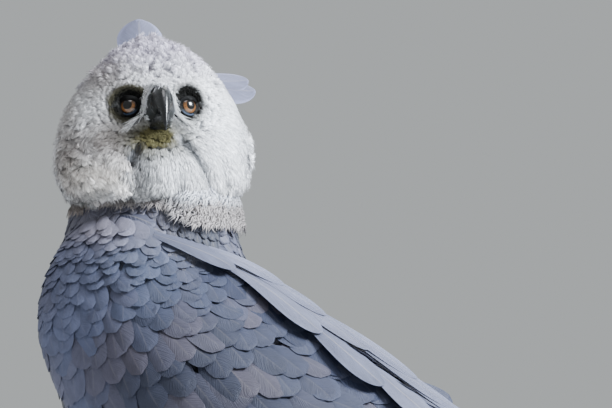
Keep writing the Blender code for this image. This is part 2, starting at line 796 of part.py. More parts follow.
def make_tail(torso):
    """The closed tail: twelve feathers that overlap from the middle out, with their coverts."""
    rings = []
    for k in range(5):
        length = -0.035 + 0.150 * k / 4
        half, thick = 0.030 - 0.0015 * k, 0.016 - 0.0024 * k
        ring = []
        for j in range(12):
            c, s = rounded(2 * math.pi * j / 12, 2.2)
            ring.append(tail_point(half * c, length, 0.0065 + thick * s))
        rings.append(ring)
    core = loft("tail", rings, "slate")
    form = ((0.0, 0.36), (0.22, 0.74), (0.70, 1.0), (0.94, 0.84), (1.0, 0.40))
    vanes = []
    for i in range(RECTRICES_EACH_SIDE):
        for side in (1, -1):
            depth = 0.0015 + (0.0034 * i if i < 2 else 0.0034 + 0.0018 * i)
            if side < 0 and i < 2:
                depth += 0.0017
            root_x, tip_x = side * (0.003 + 0.0055 * i), side * (0.007 + 0.0105 * i)
            length = TAIL_LENGTH - 0.0035 * i * i / 2
            vanes.append(tail_vane(root_x, tip_x, 0.03, length, 0.047, 0.0065, depth, form))
    for rank, x in enumerate((0.0, 0.018, -0.018, 0.036, -0.036)):
        upper = -0.0085 + 0.0015 * rank
        vanes.append(tail_vane(x * 0.5, x, -0.01, 0.135, 0.034, 0.004, upper, SHORT_VANE_FORM))
    for rank, x in enumerate((0.0, 0.026, -0.026)):
        under = 0.0230 - 0.0017 * rank
        vanes.append(tail_vane(x * 0.5, x, -0.01, 0.150, 0.040, 0.009, under, SHORT_VANE_FORM))
    combine(core, vanes, "UNION")
    return fit(core, torso)


def limb(name, stations, side, kind, steps, count, square=2.0):
    """A limb over level sections: middle x, y and z, half width and half depth."""
    last = len(stations) - 1
    rings = []
    for k in range(steps + 1):
        x, y, z, half, deep = spline(stations, last * k / steps)
        ring = []
        for j in range(count):
            c, s = rounded(2 * math.pi * j / count, square)
            ring.append((x + half * c, y + deep * s, z))
        rings.append(mirrored(ring, side))
    return loft(name, rings, kind)


def tube(name, middles, radii, kind, count, side, floor=None):
    """A round tapering piece along a path, flattened where it meets the floor."""
    rings = []
    for k, middle in enumerate(middles):
        ahead = middles[min(k + 1, len(middles) - 1)] - middles[max(k - 1, 0)]
        along = ahead.normalized()
        across = along.cross(Vector((0, 0, 1))).normalized()
        up = across.cross(along).normalized()
        ring = []
        for j in range(count):
            turn = 2 * math.pi * (j + 0.5) / count
            point = middle + (across * math.cos(turn) + up * math.sin(turn)) * radii[k]
            if floor is not None:
                point.z = max(point.z, floor)
            ring.append(point)
        rings.append(mirrored(ring, side))
    return loft(name, rings, kind)


def toe_path(heading, length, radius):
    """The middles and radii of a toe: three pads on the floor, with the joints raised."""
    ahead = Vector((math.sin(heading), -math.cos(heading), 0))
    middles, radii = [], []
    steps = 7
    for k in range(steps + 1):
        share = k / steps
        pad = 0.5 - 0.5 * math.cos(2 * math.pi * (2.0 * share + 0.1))
        size = radius * (1 - 0.22 * share) * (0.90 + 0.14 * pad)
        size *= 1 - 0.45 * share**10
        height = size - 0.0013 + 0.0030 * (1 - pad)
        middle = Vector((FOOT_X, FOOT_Y, height)) + ahead * (length * share + 0.004)
        middles.append(middle)
        radii.append(size)
    return ahead, middles, radii


def claw_rise(length, base_height):
    """The upward angle at a claw's root that lets its tip come down to the floor."""
    low, high = 0.0, math.radians(80)
    for _ in range(40):
        angle = (low + high) / 2
        drop = length * (math.cos(angle - CLAW_CURL) - math.cos(angle)) / CLAW_CURL
        if base_height + drop < CLAW_TIP_HEIGHT:
            low = angle
        else:
            high = angle
    return (low + high) / 2


def make_claw(name, base, ahead, length, radius, side):
    """A claw that curls down from the end of its toe to the floor."""
    rise = claw_rise(length, base.z)
    steps = 6
    middles, radii = [], []
    for k in range(steps + 1):
        share = k / steps
        turn = rise - CLAW_CURL * share
        forward = length * (math.sin(rise) - math.sin(turn)) / CLAW_CURL
        height = length * (math.cos(turn) - math.cos(rise)) / CLAW_CURL
        middles.append(base + ahead * forward + Vector((0, 0, height)))
        radii.append(radius * (1 - share**1.35) + 0.0007)
    return tube(name, middles, radii, "horn", 7, side, floor=0.0)


def make_leg(label, side, torso):
    """Thigh, tarsus, foot, toes and claws of one leg."""
    thigh = limb(f"thigh_{label}", THIGH_STATIONS, side, "white", 7, 14, 2.2)
    fit(thigh, torso)
    palm_middle = Vector((FOOT_X, FOOT_Y, PALM_HEIGHT))
    rings = []
    for k in range(1, 8):
        lat = math.pi * k / 8
        ring = []
        for j in range(14):
            turn = 2 * math.pi * j / 14
            x = PALM_RADII[0] * math.sin(lat) * math.cos(turn)
            y = PALM_RADII[1] * math.sin(lat) * math.sin(turn)
            z = PALM_RADII[2] * math.cos(lat)
            point = palm_middle + Vector((x, y, z))
            point.z = max(point.z, 0.0)
            ring.append(point)
        rings.append(mirrored(ring, side))
    top = palm_middle + Vector((0, 0, PALM_RADII[2]))
    low = Vector((palm_middle.x, palm_middle.y, 0))
    foot = loft(f"foot_{label}", rings, "skin", *mirrored((top, low), side))
    tarsus = limb(f"tarsus_{label}", TARSUS_STATIONS, side, "skin", 5, 12, 2.2)
    fit(tarsus, thigh, foot)
    pieces = [thigh, tarsus, foot]
    done = []
    for toe_name, degrees, length, claw_length, radius, claw_radius in TOES:
        ahead, middles, radii = toe_path(math.radians(degrees), length, radius)
        toe = tube(f"toe_{label}_{toe_name}", middles, radii, "skin", 8, side, floor=0.0)
        fit(toe, foot, tarsus, *done)
        base = middles[-1] - ahead * 0.008 + Vector((0, 0, 0.002))
        claw = make_claw(f"claw_{label}_{toe_name}", base, ahead, claw_length, claw_radius, side)
        fit(claw, toe)
        done.append(toe)
        pieces += [toe, claw]
    return pieces


def clear_scene():
    """Starts from an empty scene, with a collection for the eagle."""
    for obj in list(bpy.data.objects):
        bpy.data.objects.remove(obj)
    bpy.context.scene.collection.children.link(bpy.data.collections.new(COLLECTION))


def centre_on_origin():
    """Moves the whole bird so that the origin is under the middle of its bounding box."""
    for obj in bpy.data.objects:
        obj.data.transform(Matrix.Translation((0, -MIDDLE_Y, 0)))


def main():
    clear_scene()
    draw = random.Random(7)
    place = head_frame()
    torso = make_torso()
    neck = make_neck()
    head = make_head(place, draw)
    eyes = [make_eye("eye_left", 1, place), make_eye("eye_right", -1, place)]
    fit(head, neck, *eyes)
    make_bill(place, head)
    make_crest(place, head)
    make_tail(torso)
    left_wing = make_wing("wing_left")
    wings = (left_wing, mirror_of(left_wing, "wing_right"))
    for label, side, wing in (("left", 1, wings[0]), ("right", -1, wings[1])):
        leg = make_leg(label, side, torso)
        fit(wing, torso, neck, leg[0])
    centre_on_origin()


main()
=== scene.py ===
"""A harpy eagle at life size: skin, plumage, crest, bill, eyes, feet and a pale studio.

The bird is drawn facing -Y with its left side at +X and the floor at Z = 0, then moved so
that the origin lies under the middle of its box. Lengths are metres.
"""

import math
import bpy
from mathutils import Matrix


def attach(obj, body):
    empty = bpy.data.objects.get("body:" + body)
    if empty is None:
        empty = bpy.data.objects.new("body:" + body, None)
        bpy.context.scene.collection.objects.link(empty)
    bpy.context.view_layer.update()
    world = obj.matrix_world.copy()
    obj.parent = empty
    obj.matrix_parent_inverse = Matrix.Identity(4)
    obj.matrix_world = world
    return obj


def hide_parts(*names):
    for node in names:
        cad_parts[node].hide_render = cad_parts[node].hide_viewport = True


bl_info = {
    "name": "Harpy Eagle",
    "version": (1, 0, 0),
    "blender": (4, 5, 0),
    "location": "View3D > Sidebar > Harpy Eagle",
    "description": "Builds the skin, plumage, bill, eyes and feet of a standing harpy eagle",
    "category": "Add Mesh",
}

import bmesh
import bpy
import numpy as np
from bpy.props import FloatProperty, FloatVectorProperty, PointerProperty
from mathutils import Matrix, Vector
from mathutils.kdtree import KDTree

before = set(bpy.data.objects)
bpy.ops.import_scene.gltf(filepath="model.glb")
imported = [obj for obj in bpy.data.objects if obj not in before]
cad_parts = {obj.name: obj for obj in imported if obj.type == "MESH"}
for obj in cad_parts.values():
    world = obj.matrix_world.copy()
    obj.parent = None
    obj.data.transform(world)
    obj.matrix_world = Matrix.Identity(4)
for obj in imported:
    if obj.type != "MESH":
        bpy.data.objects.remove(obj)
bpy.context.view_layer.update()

# Half way from the foremost point to the end of the tail, as drawn
MIDDLE_Y = 0.2327
BAKE_PATCH = 0.003

# Head, in its own frame: it faces -Y, with the line between the eyes at the origin
HEAD_HEIGHT = 0.6205
HEAD_AXIS_Y = -0.103
HEAD_TURN = math.radians(115.5)
HEAD_RAISE = math.radians(12)
HEAD_SQUARE = 2.4
# Height, half width, reach forward and reach back of the level sections of the head
HEAD_LEVELS = (
    (-0.104, 0.050, 0.030, 0.044),
    (-0.094, 0.073, 0.045, 0.056),
    (-0.080, 0.088, 0.054, 0.064),
    (-0.062, 0.096, 0.058, 0.072),
    (-0.040, 0.098, 0.057, 0.078),
    (-0.020, 0.094, 0.055, 0.081),
    (0.000, 0.088, 0.055, 0.080),
    (0.018, 0.079, 0.053, 0.076),
    (0.036, 0.065, 0.048, 0.068),
    (0.053, 0.049, 0.040, 0.056),
    (0.067, 0.032, 0.028, 0.040),
    (0.077, 0.015, 0.013, 0.020),
)
# Soft swellings of the face: x and z, half sizes and height
FACE_SWELLINGS = (
    (-0.062, -0.070, 0.026, 0.018, 0.0035),
    (0.000, -0.068, 0.022, 0.026, 0.0035),
    (0.034, -0.070, 0.014, 0.020, 0.0030),
    (0.066, -0.030, 0.022, 0.026, 0.0025),
    (-0.066, -0.026, 0.020, 0.018, 0.0020),
)
# Creases between them, as bent lines of x and z
FACE_CREASES = (
    ((0.021, -0.034), (0.037, -0.058), (0.050, -0.088)),
    ((-0.024, -0.044), (-0.034, -0.066), (-0.030, -0.092)),
)
# Flaps of plumage that end in a free edge: x and z of the middle, the way they hang,
# half size along and across it, and how far the edge stands out
FACE_FLAPS = (
    (-0.060, -0.062, 0.62, -0.78, 0.021, 0.032, 0.0090),
    (-0.006, -0.068, 0.05, -1.00, 0.027, 0.026, 0.0050),
    (0.030, -0.067, 0.30, -0.95, 0.025, 0.0120, 0.0070),
    (0.051, -0.066, 0.25, -0.97, 0.019, 0.0095, 0.0055),
    (0.071, -0.052, 0.30, -0.95, 0.022, 0.0110, 0.0040),
)
# Places where the plumage lies another way: x, z, reach, and the way in x and z
FACE_TURNS = (
    (-0.062, -0.068, 0.026, 0.60, -0.80),
    (0.040, -0.070, 0.020, 0.25, -0.97),
    (-0.050, -0.030, 0.018, -0.80, -0.60),
)
CREASE_DEPTH = 0.0060
CREASE_WIDTH = 0.0042

# Eyes and lids
EYE_RADIUS = 0.0122
EYE_CENTRE = np.array((0.0265, -0.0388, -0.0012))
EYE_TOE_OUT = math.radians(27)
IRIS_ANGLE = math.radians(40)
PUPIL_ANGLE = math.radians(22)

# Bill sections: culmen y and z, cutting edge y and z, half width
UPPER_BILL = (
    (-0.040, 0.019, -0.034, -0.0245, 0.0170),
    (-0.052, 0.0190, -0.047, -0.0225, 0.0146),
    (-0.062, 0.0178, -0.058, -0.0190, 0.0128),
    (-0.071, 0.0158, -0.066, -0.0155, 0.0113),
    (-0.080, 0.0115, -0.073, -0.013, 0.0096),
    (-0.087, 0.0045, -0.077, -0.0135, 0.0078),
    (-0.0915, -0.006, -0.081, -0.0165, 0.006),
    (-0.0935, -0.017, -0.085, -0.0215, 0.004),
    (-0.0938, -0.028, -0.0885, -0.0285, 0.0022),
)
BILL_TIP = (0.0, -0.0925, -0.038)
CERE_FRONT = 3
LOWER_BILL = (
    (-0.030, -0.0235, -0.028, -0.0330, 0.0130),
    (-0.044, -0.0215, -0.042, -0.0300, 0.0115),
    (-0.056, -0.0185, -0.055, -0.0270, 0.0102),
    (-0.066, -0.0155, -0.065, -0.0240, 0.0086),
    (-0.073, -0.0138, -0.0725, -0.0208, 0.0060),
)
LOWER_BILL_TIP = (0.0, -0.077, -0.0185)
NOSTRIL = np.array((0.0125, -0.0650, 0.0040))
LIP_POINTS = (
    (0.0128, -0.0590, -0.0100),
    (0.0185, -0.0565, -0.0150),
    (0.0250, -0.0525, -0.0195),
    (0.0325, -0.0475, -0.0240),
)

# Body sections from the neck down to the tail: back y and z, front y and z, half width
BODY_STATIONS = (
    (-0.056, 0.583, -0.136, 0.586, 0.034),
    (-0.036, 0.556, -0.158, 0.560, 0.049),
    (-0.022, 0.528, -0.180, 0.532, 0.064),
    (-0.018, 0.502, -0.190, 0.502, 0.078),
    (-0.010, 0.474, -0.196, 0.455, 0.095),
    (0.010, 0.448, -0.200, 0.405, 0.105),
    (0.045, 0.423, -0.199, 0.350, 0.108),
    (0.095, 0.390, -0.172, 0.290, 0.108),
    (0.150, 0.351, -0.115, 0.235, 0.105),
    (0.205, 0.313, -0.030, 0.200, 0.097),
    (0.255, 0.278, 0.060, 0.180, 0.084),
    (0.300, 0.248, 0.145, 0.172, 0.067),
    (0.335, 0.225, 0.225, 0.172, 0.049),
    (0.360, 0.208, 0.290, 0.175, 0.034),
)
BODY_SQUARE = 2.3

# Where the wing's front edge runs out over the breast, one station before the bend
WING_FRONT = ((0.042, -0.176, 0.503), (0.046, -0.197, 0.430), (0.050, -0.178, 0.352))
# Folded wing: the top, middle and lower points of its outer face, from the bend to the tip
WING_STATIONS = (
    ((0.066, -0.150, 0.518), (0.098, -0.188, 0.432), (0.100, -0.169, 0.345)),
    ((0.084, -0.088, 0.512), (0.122, -0.125, 0.415), (0.116, -0.135, 0.305)),
    ((0.034, 0.000, 0.475), (0.134, -0.045, 0.385), (0.120, -0.085, 0.262)),
    ((0.028, 0.100, 0.414), (0.138, 0.065, 0.315), (0.118, 0.040, 0.210)),
    ((0.028, 0.205, 0.340), (0.125, 0.180, 0.260), (0.110, 0.155, 0.180)),
    ((0.030, 0.300, 0.279), (0.106, 0.285, 0.232), (0.094, 0.270, 0.178)),
    ((0.030, 0.390, 0.232), (0.078, 0.385, 0.208), (0.072, 0.375, 0.180)),
    ((0.022, 0.485, 0.194), (0.052, 0.482, 0.182), (0.054, 0.475, 0.168)),
)

# The right wing is tucked a little lower over the back, out of the photo's sight
FAR_WING_DROP = 0.024
# How many stations the slanting rows of small coverts run forward from bottom to top
COVERT_SLANT = 3.6
# Shoulder feathers along the wing's upper edge: root and tip on the wing, and width
SHOULDER_FEATHERS = (
    ((1.20, 0.030), (2.05, 0.075), 0.025),
    ((1.85, 0.045), (2.95, 0.095), 0.033),
    ((2.60, 0.055), (3.56, 0.130), 0.036),
    ((3.20, 0.060), (4.05, 0.140), 0.034),
    ((3.70, 0.04), (4.75, 0.140), 0.036),
    ((4.35, 0.05), (5.60, 0.150), 0.034),
)

# Tail: the plane of its middle feathers
TAIL_ROOT = np.array((0.0, 0.315, 0.207))
TAIL_SLOPE = math.radians(25)
TAIL_LENGTH = 0.40
TAIL_ARCH = 3.0

# Legs: middle x, y and z, half width and half depth of the level sections
FOOT_X = 0.074
FOOT_Y = 0.012
THIGH_STATIONS = (
    (0.052, 0.030, 0.262, 0.034, 0.060),
    (0.062, 0.012, 0.222, 0.037, 0.062),
    (0.069, 0.014, 0.183, 0.034, 0.053),
    (0.073, 0.032, 0.148, 0.026, 0.037),
    (0.074, 0.046, 0.120, 0.0185, 0.024),
    (0.074, 0.046, 0.104, 0.0165, 0.0195),
)
TARSUS_STATIONS = (
    (0.074, 0.050, 0.128, 0.0125, 0.0150),
    (0.074, 0.044, 0.104, 0.0118, 0.0142),
    (0.074, 0.034, 0.076, 0.0112, 0.0130),
    (0.074, 0.025, 0.048, 0.0118, 0.0135),
    (0.074, 0.017, 0.026, 0.0135, 0.0155),
)
PALM_RADII = (0.021, 0.025, 0.0175)
PALM_HEIGHT = 0.0155
# Name, heading from straight ahead towards the outside, toe and claw length, toe and claw radius
TOES = (
    ("inner", -30, 0.064, 0.056, 0.0122, 0.0082),
    ("middle", 4, 0.090, 0.048, 0.0120, 0.0074),
    ("outer", 38, 0.068, 0.041, 0.0112, 0.0066),
    ("hind", 189, 0.050, 0.070, 0.0132, 0.0098),
)
CLAW_CURL = math.radians(100)
CLAW_TIP_HEIGHT = 0.0008

# A feather's outline: the share of its length, and its width there as a share of the widest
ROUND_FORM = (
    (0.0, 0.30), (0.18, 0.72), (0.38, 0.94), (0.58, 1.0),
    (0.76, 0.96), (0.89, 0.78), (0.965, 0.48), (1.0, 0.12),
)
SOFT_FORM = ((0.0, 0.30), (0.30, 0.85), (0.60, 1.0), (0.85, 0.72), (1.0, 0.16))
LONG_FORM = (
    (0.0, 0.22), (0.10, 0.55), (0.24, 0.82), (0.40, 0.96), (0.55, 1.0), (0.70, 0.97),
    (0.82, 0.88), (0.91, 0.70), (0.97, 0.44), (1.0, 0.14),
)
BLADE_FORM = ((0.0, 1.0), (0.45, 0.85), (0.80, 0.50), (1.0, 0.10))


# --- Reading curves and surfaces ---------------------------------------------------------


def along_rows(rows, places):
    """The smooth curve through rows of numbers, read at many places, straight past its ends."""
    rows = np.asarray(rows, float)
    last = len(rows) - 1
    places = np.asarray(places, float)
    inside = np.clip(places, 0, last)
    i = np.minimum(inside.astype(int), last - 1)
    t = (inside - i)[..., None]
    padded = np.vstack((2 * rows[0] - rows[1], rows, 2 * rows[-1] - rows[-2]))
    before, a, b, after = (padded[i + k] for k in range(4))
    value = 0.5 * (
        2 * a
        + (b - before) * t
        + (2 * before - 5 * a + 4 * b - after) * t**2
        + (3 * a - before - 3 * b + after) * t**3
    )
    past = (places - inside)[..., None]
    return value + np.where(past < 0, rows[1] - rows[0], rows[-1] - rows[-2]) * past


def squared(angle, square):
    """Cosine and sine of angles, drawn out towards a square as the power rises above 2."""
    c, s = np.cos(angle), np.sin(angle)
    power = 2.0 / square
    return np.sign(c) * np.abs(c) ** power, np.sign(s) * np.abs(s) ** power


def ease(values, start, end):
    """0 before the start, 1 past the end, and smooth between them."""
    t = np.clip((np.asarray(values, float) - start) / (end - start), 0, 1)
    return t * t * (3 - 2 * t)


def unit(vectors):
    """Vectors of length one."""
    return vectors / (np.linalg.norm(vectors, axis=-1, keepdims=True) + 1e-12)


def dot(a, b):
    """Dot products of paired vectors, kept as a column."""
    return (a * b).sum(-1, keepdims=True)


def turned(vectors, axes, angles):
    """Vectors turned about axes at right angles to them."""
    angles = np.asarray(angles)[..., None]
    return vectors * np.cos(angles) + np.cross(axes, vectors) * np.sin(angles)


def waves(points, size, seed, count=5):
    """A smooth random field from -1 to 1 over points, with bumps about as wide as the size."""
    draw = np.random.default_rng(seed)
    total = np.zeros(points.shape[:-1])
    for _ in range(count):
        way = unit(draw.normal(size=3)) * draw.uniform(0.7, 1.4) * math.pi / size
        total += np.sin(points @ way + draw.uniform(0, 2 * math.pi))
    return total / count * 1.5


def distance_to_line(x, z, line):
    """How far points lie from a bent line in the face's plane."""
    best = np.full(np.shape(x), 1e9)
    for (ax, az), (bx, bz) in zip(line, line[1:]):
        dx, dz = bx - ax, bz - az
        t = np.clip(((x - ax) * dx + (z - az) * dz) / (dx * dx + dz * dz), 0, 1)
        best = np.minimum(best, np.hypot(x - ax - dx * t, z - az - dz * t))
    return best


class Surface:
    """A part of the bird's outline, read at pairs of numbers that say where on it."""

    def __init__(self, shape, chart, outward):
        self.shape = shape
        self.chart = np.array(chart, float)
        self.sign = 1.0
        middle = self.chart.mean(axis=1)[None]
        if self.frame(middle)[2][0] @ np.array(outward, float) < 0:
            self.sign = -1.0

    def point(self, places):
        """Points of the surface."""
        return self.shape(places[..., 0], places[..., 1])

    def frame(self, places):
        """The two slopes of the surface at places, and the way out of it."""
        u, v = places[..., 0], places[..., 1]
        step_u, step_v = (self.chart[:, 1] - self.chart[:, 0]) * 0.0015
        du = (self.shape(u + step_u, v) - self.shape(u - step_u, v)) / (2 * step_u)
        dv = (self.shape(u, v + step_v) - self.shape(u, v - step_v)) / (2 * step_v)
        return du, dv, unit(np.cross(du, dv)) * self.sign

    def on_chart(self, places):
        """Places as numbers from 0 to 1."""
        low, high = self.chart[:, 0], self.chart[:, 1]
        return np.clip((places - low) / (high - low), 0, 1)


def steps_for(du, dv, move):
    """The change of place on a surface that moves its points by small vectors."""
    a, b, c = dot(du, du)[..., 0], dot(du, dv)[..., 0], dot(dv, dv)[..., 0]
    p, q = dot(du, move)[..., 0], dot(dv, move)[..., 0]
    size = a * c - b * b + 1e-14
    return np.stack(((c * p - b * q) / size, (a * q - b * p) / size), -1)


# --- The bird's surfaces -----------------------------------------------------------------


def head_frame():
    """Where the head's own frame stands: raised a little, then turned."""
    return np.array(
        Matrix.Translation((0, HEAD_AXIS_Y, HEAD_HEIGHT))
        @ Matrix.Rotation(HEAD_TURN, 4, "Z")
        @ Matrix.Rotation(-HEAD_RAISE, 4, "X")
    )


HEAD_PLACE = head_frame()


def from_head(points):
    """Points of the head's own frame, in the bird's."""
    return points @ HEAD_PLACE[:3, :3].T + HEAD_PLACE[:3, 3]


def to_head(points):
    """Points of the bird, in the head's own frame."""
    return (points - HEAD_PLACE[:3, 3]) @ HEAD_PLACE[:3, :3]


def face_relief(x, z):
    """How far lobes and creases stand out of the plain face, in the head's own frame."""
    rise = np.zeros(np.shape(x))
    for cx, cz, half_x, half_z, height in FACE_SWELLINGS:
        rise += height * np.exp(-(((x - cx) / half_x) ** 2) - ((z - cz) / half_z) ** 2)
    for line in FACE_CREASES:
        gap = distance_to_line(x, z, line)
        rise -= CREASE_DEPTH * np.exp(-((gap / CREASE_WIDTH) ** 2))
    return rise


def head_local(level, angle):
    """A point of the head in its own frame: up the sections, and round from the face."""
    height, half, front, back = np.moveaxis(along_rows(HEAD_LEVELS, level), -1, 0)
    c, s = squared(angle, HEAD_SQUARE)
    x = half * s
    y = -np.where(c > 0, front, back) * c
    shift = np.zeros(np.shape(x))
    for side in (1, -1):
        eye = (x - side * 0.0290) ** 2 + ((height - 0.001) * 0.9) ** 2
        gape = (x - side * 0.026) ** 2 + (height + 0.024) ** 2
        brow = ((x - side * 0.030) * 0.6) ** 2 + (height - 0.0185) ** 2
        shift += 0.0085 * np.exp(-eye / 0.0135**2)
        shift += 0.0050 * np.exp(-gape / 0.0110**2)
        shift -= 0.0045 * np.exp(-brow / 0.0085**2)
    y = np.where(y < 0, y + shift, y)
    relief = face_relief(x, height) * ease(-y, 0.0, 0.022)
    spread = unit(np.stack((x * 0.55, np.minimum(y, -0.02), np.zeros(np.shape(x))), -1))
    return np.stack((x, y, height), -1) + spread * relief[..., None]


def face_place(x, z):
    """Where on the head's sections a point of the face lies."""
    heights, halves = np.array(HEAD_LEVELS)[:, 0], np.array(HEAD_LEVELS)[:, 1]
    level = np.interp(z, heights, np.arange(len(heights)))
    share = np.clip(np.abs(x) / np.interp(z, heights, halves), 0, 1)
    return np.stack((level, np.sign(x) * np.arcsin(share ** (HEAD_SQUARE / 2))), -1)


def head_shape(level, angle):
    """A point of the head in the bird's frame."""
    return from_head(head_local(level, angle))


def body_shape(station, angle):
    """A point of the neck and torso: down the sections, and round from the back to the left."""
    back_y, back_z, front_y, front_z, half = np.moveaxis(
        along_rows(BODY_STATIONS, station), -1, 0
    )
    c, s = squared(angle, BODY_SQUARE)
    y = (back_y + front_y) / 2 + (back_y - front_y) / 2 * c
    z = (back_z + front_z) / 2 + (back_z - front_z) / 2 * c
    return np.stack((half * s, y, z), -1)


def wing_shape(side):
    """The outer face of a folded wing: from the bend to the tip, and from top to bottom."""
    stations = (WING_FRONT, *WING_STATIONS)
    rows = [[value for point in station for value in point] for station in stations]

    def shape(p, q):
        values = along_rows(rows, np.asarray(p) + 1)
        top, middle, low = values[..., 0:3], values[..., 3:6], values[..., 6:9]
        if side < 0:
            top = top - np.array((0, 0, FAR_WING_DROP)) * ease(p, -0.1, 1.4)[..., None]
        q = np.asarray(q)[..., None]
        point = top * (1 - q) * (1 - 2 * q) + middle * 4 * q * (1 - q) + low * q * (2 * q - 1)
        return point * np.array((side, 1, 1))

    return shape


def limb_shape(stations, side, square=2.2):
    """A leg's outline: down the level sections, and round from the outer side to the back."""

    def shape(station, angle):
        x, y, z, half, deep = np.moveaxis(along_rows(stations, station), -1, 0)
        c, s = squared(angle, square)
        return np.stack(((x + half * c) * side, y + deep * s, z), -1)

    return shape


def tail_shape(x, length):
    """The upper face of the tail's arched fan."""
    back = np.array((0, math.cos(TAIL_SLOPE), -math.sin(TAIL_SLOPE)))
    up = np.array((0, math.sin(TAIL_SLOPE), math.cos(TAIL_SLOPE)))
    x, length = np.asarray(x)[..., None], np.asarray(length)[..., None]
    return TAIL_ROOT + back * length + np.array((1.0, 0, 0)) * x - up * TAIL_ARCH * x * x


LAST_LEVEL = len(HEAD_LEVELS) - 1
LAST_BODY = len(BODY_STATIONS) - 1
LAST_WING = len(WING_STATIONS) - 1
HEAD = Surface(head_shape, ((0, LAST_LEVEL), (-math.pi, math.pi)), HEAD_PLACE[:3, :3] @ (0, -1, 0))
BODY = Surface(body_shape, ((0, LAST_BODY), (0, 2 * math.pi)), (0, -1, -0.2))
TAIL = Surface(tail_shape, ((-0.08, 0.08), (-0.05, 0.45)), (0, 0, 1))
WINGS = {s: Surface(wing_shape(s), ((-0.9, LAST_WING), (-0.1, 1.1)), (s, 0, 0)) for s in (1, -1)}
THIGHS = {
    s: Surface(limb_shape(THIGH_STATIONS, s), ((0, 5), (-math.pi, math.pi)), (s, 0, 0))
    for s in (1, -1)
}


def core_depth(p, q):
    """How deep the wing's flesh lies under its outer face, deeper behind each row of roots."""
    behind = p - (0.5 + (0.8 - q) * 2.7)
    places, depths = (-0.6, 0.0, 0.75, 1.6, 2.6), (0.0030, 0.0050, 0.0090, 0.0130, 0.0170)
    return np.interp(behind, places, depths)


# --- Meshes from arrays ------------------------------------------------------------------


def mesh_of(name, points, faces, smooth=True):
    """A mesh from arrays of points and of triangles or quads, moved to its final place."""
    points = np.array(points, float)
    points[:, 1] -= MIDDLE_Y
    faces = np.asarray(faces, np.int32)
    corners = faces.shape[1]
    mesh = bpy.data.meshes.new(name)
    mesh.vertices.add(len(points))
    mesh.vertices.foreach_set("co", points.astype(np.float32).ravel())
    mesh.loops.add(faces.size)
    mesh.loops.foreach_set("vertex_index", faces.ravel())
    mesh.polygons.add(len(faces))
    mesh.polygons.foreach_set("loop_start", np.arange(len(faces), dtype=np.int32) * corners)
    mesh.polygons.foreach_set("use_smooth", np.full(len(faces), smooth))
    mesh.update(calc_edges=True)
    return mesh


def per_point(mesh, name, values):
    """Writes one number or one colour for each point of a mesh."""
    values = np.asarray(values, np.float32)
    if values.ndim == 1:
        mesh.attributes.new(name, "FLOAT", "POINT").data.foreach_set("value", values)
        return
    colours = np.ones((len(values), 4), np.float32)
    colours[:, :3] = values
    layer = mesh.attributes.new(name, "FLOAT_COLOR", "POINT")
    layer.data.foreach_set("color", colours.ravel())


def uv_layer(mesh, name, values):
    """Writes a UV map from one pair of numbers for each point."""
    corners = np.empty(len(mesh.loops), np.int32)
    mesh.loops.foreach_get("vertex_index", corners)
    layer = mesh.uv_layers.new(name=name)
    layer.uv.foreach_set("vector", np.asarray(values, np.float32)[corners].ravel())


def show(name, mesh, material):
    """Puts a mesh in the scene as a piece of the bird."""
    obj = bpy.data.objects.new(name, mesh)
    mesh.materials.append(material)
    bpy.context.scene.collection.objects.link(obj)
    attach(obj, "root")
    return obj


def outward(mesh):
    """Turns all faces of a closed mesh outwards."""
    bm = bmesh.new()
    bm.from_mesh(mesh)
    bmesh.ops.recalc_face_normals(bm, faces=bm.faces)
    bm.to_mesh(mesh)
    bm.free()
    return mesh


def tube_arrays(rings, start=None, end=None):
    """Points and triangles of a closed skin over rings, each end drawn to a pole."""
    rings = np.asarray(rings, float)
    count, around = rings.shape[:2]
    points = rings.reshape(-1, 3)
    first = rings[0].mean(0) if start is None else np.array(start, float)
    last = rings[-1].mean(0) if end is None else np.array(end, float)
    points = np.vstack((points, first, last))
    index = np.arange(count * around).reshape(count, around)
    a, b = index[:-1], index[1:]
    a2, b2 = np.roll(a, -1, axis=1), np.roll(b, -1, axis=1)
    faces = np.concatenate(
        (np.stack((a, a2, b2), -1).reshape(-1, 3), np.stack((a, b2, b), -1).reshape(-1, 3))
    )
    hub = count * around
    low, high = index[0], index[-1]
    caps = (
        np.stack((np.roll(low, -1), low, np.full(around, hub)), -1),
        np.stack((high, np.roll(high, -1), np.full(around, hub + 1)), -1),
    )
    return points, np.concatenate((faces, *caps))


# --- Feathers ----------------------------------------------------------------------------


